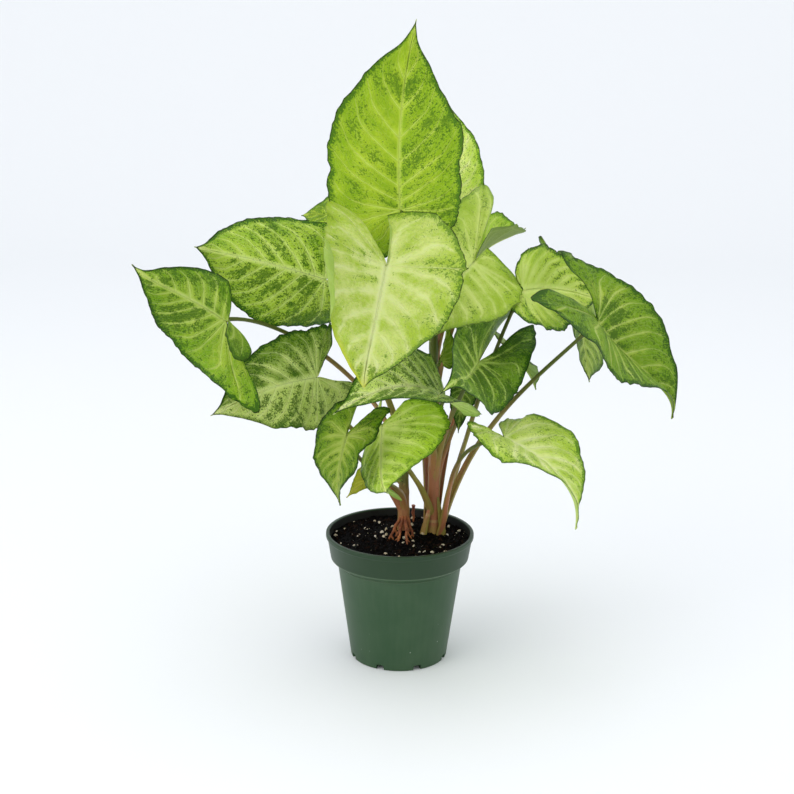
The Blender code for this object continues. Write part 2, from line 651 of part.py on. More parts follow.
def add_shoots():
    """Each shoot with its plug in the soil, stems, petioles and aerial roots as one body."""
    for name, shoot in SHOOTS.items():
        bottom = SOIL_LEVEL - SHOOT_DEPTH
        pieces = [cylinder(shoot.centre, shoot.radius, bottom, SOIL_LEVEL + COLLAR_HEIGHT, PLUG_SIDES)]
        route = catmull_rom(shoot.stem, 3)
        pieces.append(tube(route, taper(*STEM_RADII, len(route)), STEM_SIDES))
        for leaf in LEAVES.values():
            if leaf.shoot == name:
                route = petiole_route(leaf)
                pieces.append(tube(route, taper(*leaf.radii, len(route)), PETIOLE_SIDES))
        for start, end in shoot.roots:
            top = Vector((*start, SOIL_LEVEL + ROOT_TOP))
            tip = Vector((*end, SOIL_LEVEL + ROOT_CLEARANCE))
            reach = tip - top
            route = hermite(top, tip, reach / 2 - UP * ROOT_TOP, reach, ROOT_POINTS)
            pieces.append(tube(route, taper(*ROOT_RADII, len(route)), ROOT_SIDES))
        fused(name, pieces, material(name, shoot.colour, PLANT_ROUGHNESS))


def pot_profile():
    """Outer and inner outline of the pot as (radius, height), from the centre below to the centre above."""
    inner_foot = FOOT_RADIUS - FOOT_RING_WIDTH
    floor_top = FOOT_RING_HEIGHT + POT_FLOOR
    return [
        (0.0, 0.0),
        (CENTRE_PAD_RADIUS, 0.0),
        (CENTRE_PAD_RADIUS + CENTRE_PAD_SLOPE, FOOT_RING_HEIGHT),
        (inner_foot - FOOT_CHAMFER, FOOT_RING_HEIGHT),
        (inner_foot, 0.0),
        (FOOT_RADIUS - FOOT_CHAMFER, 0.0),
        (FOOT_RADIUS, FOOT_CHAMFER),
        (BODY_TOP_RADIUS, BODY_TOP_HEIGHT),
        (BAND_FOOT_RADIUS, BAND_FOOT_HEIGHT),
        (BAND_TOP_RADIUS, POT_HEIGHT - RIM_DEPTH - RIM_EDGE * 2),
        (RIM_RADIUS, POT_HEIGHT - RIM_DEPTH),
        (RIM_RADIUS, POT_HEIGHT - RIM_EDGE),
        (RIM_RADIUS - RIM_EDGE, POT_HEIGHT),
        (BAND_TOP_RADIUS - POT_WALL + RIM_EDGE, POT_HEIGHT),
        (BAND_TOP_RADIUS - POT_WALL, POT_HEIGHT - RIM_EDGE),
        (BAND_FOOT_RADIUS - POT_WALL, BAND_FOOT_HEIGHT),
        (BODY_TOP_RADIUS - POT_WALL, BODY_TOP_HEIGHT),
        (FOOT_RADIUS - POT_WALL, floor_top),
        (0.0, floor_top),
    ]


def turned(name, profile, sides, finish):
    """A closed solid of revolution from an outline whose two ends lie on the axis."""
    points, rings, faces = [], [], []
    for radius, height in profile:
        if radius == 0.0:
            rings.append([len(points)] * sides)
            points.append((0.0, 0.0, height))
            continue
        rings.append(list(range(len(points), len(points) + sides)))
        for k in range(sides):
            angle = 2 * math.pi * k / sides
            points.append((radius * math.cos(angle), radius * math.sin(angle), height))
    for lower, upper in zip(rings, rings[1:]):
        for k in range(sides):
            corners = [lower[k], lower[(k + 1) % sides], upper[(k + 1) % sides], upper[k]]
            kept = [v for i, v in enumerate(corners) if v != corners[i - 1]]
            faces.append(kept)
    return new_object(name, points, faces, finish)


def add_pot():
    """The pot, with drain holes cut through the corner of its foot."""
    finish = material("nursery_pot", POT_COLOUR, POT_ROUGHNESS)
    pot = turned("nursery_pot", pot_profile(), POT_SIDES, finish)
    pieces = bmesh.new()
    for k in range(DRAIN_HOLES):
        angle = 2 * math.pi * (k + 0.5) / DRAIN_HOLES
        out = Vector((math.cos(angle), math.sin(angle), 0.0))
        side = Vector((-out.y, out.x, 0.0)) * DRAIN_WIDTH / 2
        corners = []
        for height in (-FOOT_CHAMFER, DRAIN_HEIGHT):
            for radius, hand in ((DRAIN_INNER, -1), (DRAIN_OUTER, -1), (DRAIN_OUTER, 1), (DRAIN_INNER, 1)):
                corners.append(pieces.verts.new(out * radius + side * hand + UP * height))
        for face in ((3, 2, 1, 0), (4, 5, 6, 7), (0, 1, 5, 4), (1, 2, 6, 5), (2, 3, 7, 6), (3, 0, 4, 7)):
            pieces.faces.new([corners[i] for i in face])
    mesh = bpy.data.meshes.new("drain_cutter")
    pieces.to_mesh(mesh)
    pieces.free()
    cutter = bpy.data.objects.new("drain_cutter", mesh)
    cutter.hide_render = True
    cutter.display_type = "WIRE"
    bpy.context.scene.collection.objects.link(cutter)
    cut = pot.modifiers.new("drains", "BOOLEAN")
    cut.operation = "DIFFERENCE"
    cut.solver = "EXACT"
    cut.object = cutter


def soil_height(x, y, bumps):
    """Top of the soil, uneven but level where a shoot stands."""
    height = SOIL_LEVEL
    for bump_x, bump_y, size, rise in bumps:
        height += rise * math.exp(-((x - bump_x) ** 2 + (y - bump_y) ** 2) / size**2)
    calm = 1.0
    for shoot in SHOOTS.values():
        away = math.hypot(x - shoot.centre[0], y - shoot.centre[1])
        calm *= min(1.0, max(0.0, (away - shoot.radius) / SOIL_CALM))
    return SOIL_LEVEL + (height - SOIL_LEVEL) * calm


def add_soil():
    """The potting mix, which fills the pot and has a hole for each shoot."""
    rng = random.Random(SEED)
    bumps = []
    for _ in range(SOIL_BUMPS):
        rise = rng.uniform(-SOIL_RELIEF, SOIL_RELIEF)
        x, y = (rng.uniform(-BAND_FOOT_RADIUS, BAND_FOOT_RADIUS) for _ in range(2))
        bumps.append((x, y, rng.uniform(*SOIL_BUMP_SIZES), rise))
    floor_top = FOOT_RING_HEIGHT + POT_FLOOR
    heights = [floor_top, BODY_TOP_HEIGHT, BAND_FOOT_HEIGHT, POT_HEIGHT - RIM_EDGE]
    radii = [FOOT_RADIUS, BODY_TOP_RADIUS, BAND_FOOT_RADIUS, BAND_TOP_RADIUS]
    cosine = math.cos(math.pi / POT_SIDES)
    walls = [(r - POT_WALL) * cosine - GAP for r in radii]
    points, faces = [(0.0, 0.0, floor_top + GAP)], []
    for height in (floor_top + GAP, BODY_TOP_HEIGHT - GAP, BAND_FOOT_HEIGHT + GAP):
        reach = float(np.interp(height, heights, walls)) - 0.5 * GAP
        for k in range(SOIL_SIDES):
            angle = 2 * math.pi * k / SOIL_SIDES
            points.append((reach * math.cos(angle), reach * math.sin(angle), height))
    for ring in range(SOIL_RINGS, 0, -1):
        reach = (float(np.interp(SOIL_LEVEL, heights, walls)) - GAP) * ring / SOIL_RINGS
        for k in range(SOIL_SIDES):
            angle = 2 * math.pi * k / SOIL_SIDES
            x, y = reach * math.cos(angle), reach * math.sin(angle)
            points.append((x, y, soil_height(x, y, bumps)))
    points.append((0.0, 0.0, soil_height(0.0, 0.0, bumps)))
    rings = 3 + SOIL_RINGS
    for k in range(SOIL_SIDES):
        following = (k + 1) % SOIL_SIDES
        faces.append([0, 1 + following, 1 + k])
        for ring in range(rings - 1):
            low, high = 1 + ring * SOIL_SIDES, 1 + (ring + 1) * SOIL_SIDES
            faces.append([low + k, low + following, high + following, high + k])
        last = 1 + (rings - 1) * SOIL_SIDES
        faces.append([last + k, last + following, len(points) - 1])
    soil = new_object("potting_soil", points, faces, material("potting_soil", SOIL_COLOUR, SOIL_ROUGHNESS))
    for name, shoot in SHOOTS.items():
        bottom = SOIL_LEVEL - SHOOT_DEPTH - GAP
        hole = cylinder(shoot.centre, shoot.radius + GAP, bottom, HOLE_TOP, PLUG_SIDES)
        cutter = new_object(name + "_hole", *hole, soil.data.materials[0])
        cutter.hide_render = True
        cutter.display_type = "WIRE"
        cut = soil.modifiers.new(name + "_hole", "BOOLEAN")
        cut.operation = "DIFFERENCE"
        cut.solver = "EXACT"
        cut.object = cutter


def clear_scene():
    """Removes the objects of the scene it is run in."""
    for obj in list(bpy.data.objects):
        bpy.data.objects.remove(obj, do_unlink=True)


def main():
    """Builds the potted plant."""
    clear_scene()
    add_pot()
    add_soil()
    add_shoots()
    add_blades()


main()
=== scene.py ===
"""The looks of a white butterfly syngonium in its nursery pot, in metres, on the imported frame.

The origin is the centre of the pot's foot. +X is to the right of the plant's front, +Y is behind
it and +Z is up. Each blade, shoot, the pot and the potting mix stands for its node of the frame.
"""

import logging
import math
from dataclasses import dataclass
from enum import Enum
from typing import Any, Callable, Iterable, Sequence

import bmesh
import bpy
import numpy as np
from mathutils import Matrix, Vector, noise


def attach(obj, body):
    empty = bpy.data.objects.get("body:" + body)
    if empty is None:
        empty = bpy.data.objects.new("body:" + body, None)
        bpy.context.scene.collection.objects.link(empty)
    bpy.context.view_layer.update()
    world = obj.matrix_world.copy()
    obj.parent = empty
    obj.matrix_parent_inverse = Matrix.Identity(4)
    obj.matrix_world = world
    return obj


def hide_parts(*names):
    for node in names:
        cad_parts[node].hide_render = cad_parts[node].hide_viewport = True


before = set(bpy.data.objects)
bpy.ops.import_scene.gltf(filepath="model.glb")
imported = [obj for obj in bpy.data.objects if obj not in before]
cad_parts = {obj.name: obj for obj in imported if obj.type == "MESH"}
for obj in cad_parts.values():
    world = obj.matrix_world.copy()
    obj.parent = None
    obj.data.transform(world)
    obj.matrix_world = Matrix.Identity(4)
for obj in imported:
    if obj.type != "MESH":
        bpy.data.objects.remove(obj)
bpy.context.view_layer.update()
LOG = logging.getLogger("syngonium")

Colour = tuple[float, float, float]
Point = tuple[float, float, float]
Pair = tuple[float, float]
Sides = Pair | float

UP = Vector((0.0, 0.0, 1.0))


class Slot(Enum):
    """Material slots that the pieces are logged under."""

    LEAF = "leaf"
    STEM = "stem"
    MIX = "potting_mix"
    POT = "pot"


def add_object(name: str, data: Any) -> bpy.types.Object:
    """Puts an object with this data in the scene."""
    made = bpy.data.objects.new(name, data)
    bpy.context.scene.collection.objects.link(made)
    return made


def add_mesh(name: str, points: Any, faces: Any, maps: dict[str, Any] | None = None) -> bpy.types.Mesh:
    """Makes a smooth mesh.

    Args:
        name: Name of the mesh.
        points: Its points.
        faces: The points of each face.
        maps: UV maps by name, with one pair for each corner of each face.

    Returns:
        The mesh.
    """
    mesh = bpy.data.meshes.new(name)
    mesh.from_pydata([tuple(point) for point in points], [], faces)
    for key, rows in (maps or {}).items():
        layer = mesh.uv_layers.new(name=key)
        layer.data.foreach_set("uv", [value for row in rows for corner in row for value in corner])
    mesh.shade_smooth()
    return mesh


def feed(tree: bpy.types.NodeTree, socket: bpy.types.NodeSocket, value: Any) -> None:
    """Links an output to a socket, or sets the socket's own value."""
    if isinstance(value, bpy.types.NodeSocket):
        tree.links.new(value, socket)
    elif socket.type == "RGBA" and len(value) == 3:
        socket.default_value = (*value, 1.0)
    else:
        socket.default_value = value


def add_node(
    tree: bpy.types.NodeTree, kind: str, settings: dict[str, Any], inputs: dict[int | str, Any]
) -> bpy.types.Node:
    """Adds one node to a tree.

    Args:
        tree: The tree.
        kind: The node's type.
        settings: Values of the node itself, set before its sockets.
        inputs: Values or links of its sockets, by name or index.

    Returns:
        The node.
    """
    node = tree.nodes.new(kind)
    for key, value in settings.items():
        setattr(node, key, value)
    for key, value in inputs.items():
        feed(tree, node.inputs[key], value)
    return node


def math_node(operation: str, swapped: bool = False) -> Callable[..., "Signal"]:
    """Makes a signal's method that adds one Math node.

    Args:
        operation: What the node works out.
        swapped: Whether the signal is the second of the two values.

    Returns:
        The method.
    """

    def method(signal: "Signal", other: Any = 0.0) -> "Signal":
        """Adds the node on the signal and another value."""
        pair = (other, signal) if swapped else (signal, other)
        return signal.sheet.add("ShaderNodeMath", {"operation": operation}, dict(enumerate(pair)))

    return method


class Signal:
    """A shader socket that takes part in expressions like a number."""

    def __init__(self, sheet: "Sheet", socket: bpy.types.NodeSocket) -> None:
        """Wraps one output socket of the sheet's tree."""
        self.sheet = sheet
        self.socket = socket

    __add__, __radd__ = math_node("ADD"), math_node("ADD", True)
    __sub__, __rsub__ = math_node("SUBTRACT"), math_node("SUBTRACT", True)
    __mul__, __rmul__ = math_node("MULTIPLY"), math_node("MULTIPLY", True)
    __truediv__, __rtruediv__ = math_node("DIVIDE"), math_node("DIVIDE", True)
    __pow__, __abs__ = math_node("POWER"), math_node("ABSOLUTE")
    most, least = math_node("MAXIMUM"), math_node("MINIMUM")
    bounced = math_node("PINGPONG")

    def to_nearest(self) -> "Signal":
        """Distance to the nearest whole number, from 0 to 0.5."""
        return abs((self + 1.0).bounced(0.5))

    def fall(self, start: Any, end: Any) -> "Signal":
        """Smooth fall from 1 at start to 0 at end."""
        return 1.0 - self.ramp(start, end)

    def ramp(self, start: Any, end: Any) -> "Signal":
        """Smooth rise from 0 at start to 1 at end."""
        return self.sheet.add(
            "ShaderNodeMapRange",
            {"interpolation_type": "SMOOTHSTEP"},
            {"Value": self, "From Min": start, "From Max": end, "To Min": 0.0, "To Max": 1.0},
        )


class Sheet:
    """A material's node tree, written as expressions."""

    def __init__(self, name: str) -> None:
        """Starts a material with its Principled BSDF.

        Args:
            name: Name of the material.
        """
        self.material = bpy.data.materials.new(name)
        self.material.use_nodes = True
        self.tree = self.material.node_tree
        self.shader = self.tree.nodes["Principled BSDF"]

    def add(
        self,
        kind: str,
        settings: dict[str, Any] | None = None,
        inputs: dict[int | str, Any] | None = None,
        output: int | str = 0,
    ) -> Signal:
        """Adds one node.

        Args:
            kind: The node's type.
            settings: Values of the node itself, set before its sockets.
            inputs: Values or links of its sockets, by name or index.
            output: The socket that is read.

        Returns:
            The node's output as a signal.
        """
        fed = {key: getattr(value, "socket", value) for key, value in (inputs or {}).items()}
        node = add_node(self.tree, kind, settings or {}, fed)
        return Signal(self, node.outputs[output])

    def place(self) -> Signal:
        """The point's place in the piece, in metres."""
        return self.add("ShaderNodeTexCoord", output="Object")

    def split(self, vector: Signal) -> tuple[Signal, Signal, Signal]:
        """The three numbers of a vector."""
        first = self.add("ShaderNodeSeparateXYZ", {}, {0: vector}, 0)
        node = first.socket.node
        return first, Signal(self, node.outputs[1]), Signal(self, node.outputs[2])

    def join(self, x: Any, y: Any, z: Any = 0.0) -> Signal:
        """A vector from three numbers."""
        return self.add("ShaderNodeCombineXYZ", {}, {0: x, 1: y, 2: z})

    def uv(self, name: str) -> tuple[Signal, Signal]:
        """The two numbers of the piece's own UV map of this name."""
        across, along, _ = self.split(self.add("ShaderNodeUVMap", {"uv_map": name}))
        return across, along

    def grain(self, vector: Signal, scale: float, detail: float = 2.0, rough: float = 0.5) -> Signal:
        """Soft random pattern from 0 to 1 with this many cells to the unit."""
        inputs = {"Vector": vector, "Scale": scale, "Detail": detail, "Roughness": rough}
        return self.add("ShaderNodeTexNoise", {}, inputs)

    def blend(self, share: Any, first: Any, second: Any) -> Signal:
        """Colour between two colours."""
        return self.add("ShaderNodeMix", {"data_type": "RGBA"}, {0: share, 6: first, 7: second}, 2)

    def relief(self, height: Signal, depth: float, strength: float = 1.0) -> Signal:
        """Surface direction of a fine relief this deep, in metres."""
        return self.add("ShaderNodeBump", {}, {"Height": height, "Distance": depth, "Strength": strength})

    def finish(self, **inputs: Any) -> bpy.types.Material:
        """Feeds the shader's sockets, named with _ for a space, and returns the material."""
        for key, value in inputs.items():
            feed(self.tree, self.shader.inputs[key.replace("_", " ")], getattr(value, "socket", value))
        return self.material


class Palette(Enum):
    """Colourings of the blades: dark patches, green, pale middle, veins, underside."""

    CREAM = ((0.11, 0.23, 0.01), (0.38, 0.54, 0.034), (0.62, 0.72, 0.2),
             (0.86, 0.9, 0.56), (0.3, 0.47, 0.08))
    BUTTER = ((0.1, 0.21, 0.008), (0.34, 0.5, 0.028), (0.54, 0.66, 0.13),
              (0.72, 0.8, 0.34), (0.28, 0.44, 0.07))
    LIME = ((0.06, 0.15, 0.003), (0.23, 0.38, 0.004), (0.38, 0.52, 0.02),
            (0.58, 0.7, 0.16), (0.24, 0.39, 0.04))
    APPLE = ((0.035, 0.105, 0.003), (0.16, 0.31, 0.004), (0.36, 0.49, 0.04),
             (0.64, 0.73, 0.26), (0.19, 0.33, 0.04))
    MOSS = ((0.024, 0.075, 0.003), (0.11, 0.22, 0.005), (0.32, 0.43, 0.06),
            (0.56, 0.66, 0.22), (0.15, 0.27, 0.04))
    STONE = ((0.024, 0.07, 0.004), (0.12, 0.21, 0.01), (0.38, 0.46, 0.11),
             (0.62, 0.69, 0.3), (0.18, 0.29, 0.05))
    FERN = ((0.016, 0.055, 0.002), (0.075, 0.17, 0.004), (0.22, 0.34, 0.03),
            (0.46, 0.56, 0.16), (0.12, 0.22, 0.03))
    STRAW = ((0.25, 0.28, 0.02), (0.45, 0.46, 0.03), (0.58, 0.56, 0.06),
             (0.66, 0.64, 0.15), (0.45, 0.46, 0.06))


@dataclass(frozen=True)
class Look:
    """How one blade is coloured.

    Pairs are for the left and the right half, and one number is for both. pale, veins, fleck,
    blotch, rim and yellow say how much of each mark there is, broad how wide the veins glow, and
    crisp how sharp they are. gain brightens the whole blade and back its lower side, where a back
    below 1 paints shade on the lower side; under is the upper side's share.
    """

    palette: Palette
    pale: Sides
    veins: float
    broad: float
    fleck: Sides
    blotch: float
    rim: Sides
    yellow: float = 0.0
    gain: float = 1.0
    under: float = 0.25
    crisp: float = 1.0
    back: float = 1.0

    @property
    def colours(self) -> list[Colour]:
        """The palette's colours at this blade's brightness."""
        made = [tuple(min(0.9, self.gain * c) for c in colour) for colour in self.palette.value]
        return made[:4] + [tuple(self.back * c for c in made[4])]


@dataclass(frozen=True)
class Leaf:
    """One arrow-shaped blade and the petiole that carries it.

    Pairs are for the left and the right half. Outline values are shares of the blade's length
    from joint to tip, angles are in degrees and places are in metres.
    """

    joint: Point
    tip: Point
    face: Point
    lobe: Pair
    foot: Point
    look: Look
    width: Pair = (0.4, 0.4)
    widest: float = 0.14
    full: float = 0.35
    spread: Pair = (0.22, 0.22)
    fold: Pair = (12.0, 12.0)
    curl: Pair = (0.0, 0.0)
    furl: Pair = (0.0, 0.0)
    arch: float = 0.05
    hook: float = 0.0
    sway: float = 0.0
    twist: float = 0.0
    lift: Pair = (0.0, 0.0)
    slant: Pair = (0.0, 0.0)
    wave: float = 0.01
    waves: float = 2.0
    phase: float = 0.0
    shoot: str = "shoot_right"
    leave: Point = (0.0, 0.0, 1.0)
    arrive: Point = (0.0, 0.0, 0.0)
    bow: Pair = (0.35, 0.35)
    ease: float = 1.0
    radii: Pair = (0.0026, 0.0013)

    @property
    def length(self) -> float:
        """Distance from joint to tip."""
        return (Vector(self.tip) - Vector(self.joint)).length

    @property
    def axes(self) -> np.ndarray:
        """Columns: along the blade, towards its left half and out of its upper side."""
        along = (Vector(self.tip) - Vector(self.joint)).normalized()
        upper = Vector(self.face)
        upper = (upper - along * upper.dot(along)).normalized()
        return np.array([along, upper.cross(along), upper]).T


@dataclass(frozen=True)
class Shoot:
    """A clump in its own hole in the mix: its main stem and its aerial roots."""

    centre: Pair
    stem: tuple[Point, ...]
    roots: tuple[tuple[Pair, Pair], ...]
    tone: float
    cuffs: tuple[tuple[Point, Point, float], ...] = ()
    bud: tuple[Point, ...] = ()

    def at(self, height: float) -> Vector:
        """Point on the main stem's axis at this height."""
        route = np.array(self.stem)
        return Vector([float(np.interp(height, route[:, 2], route[:, k])) for k in range(3)])


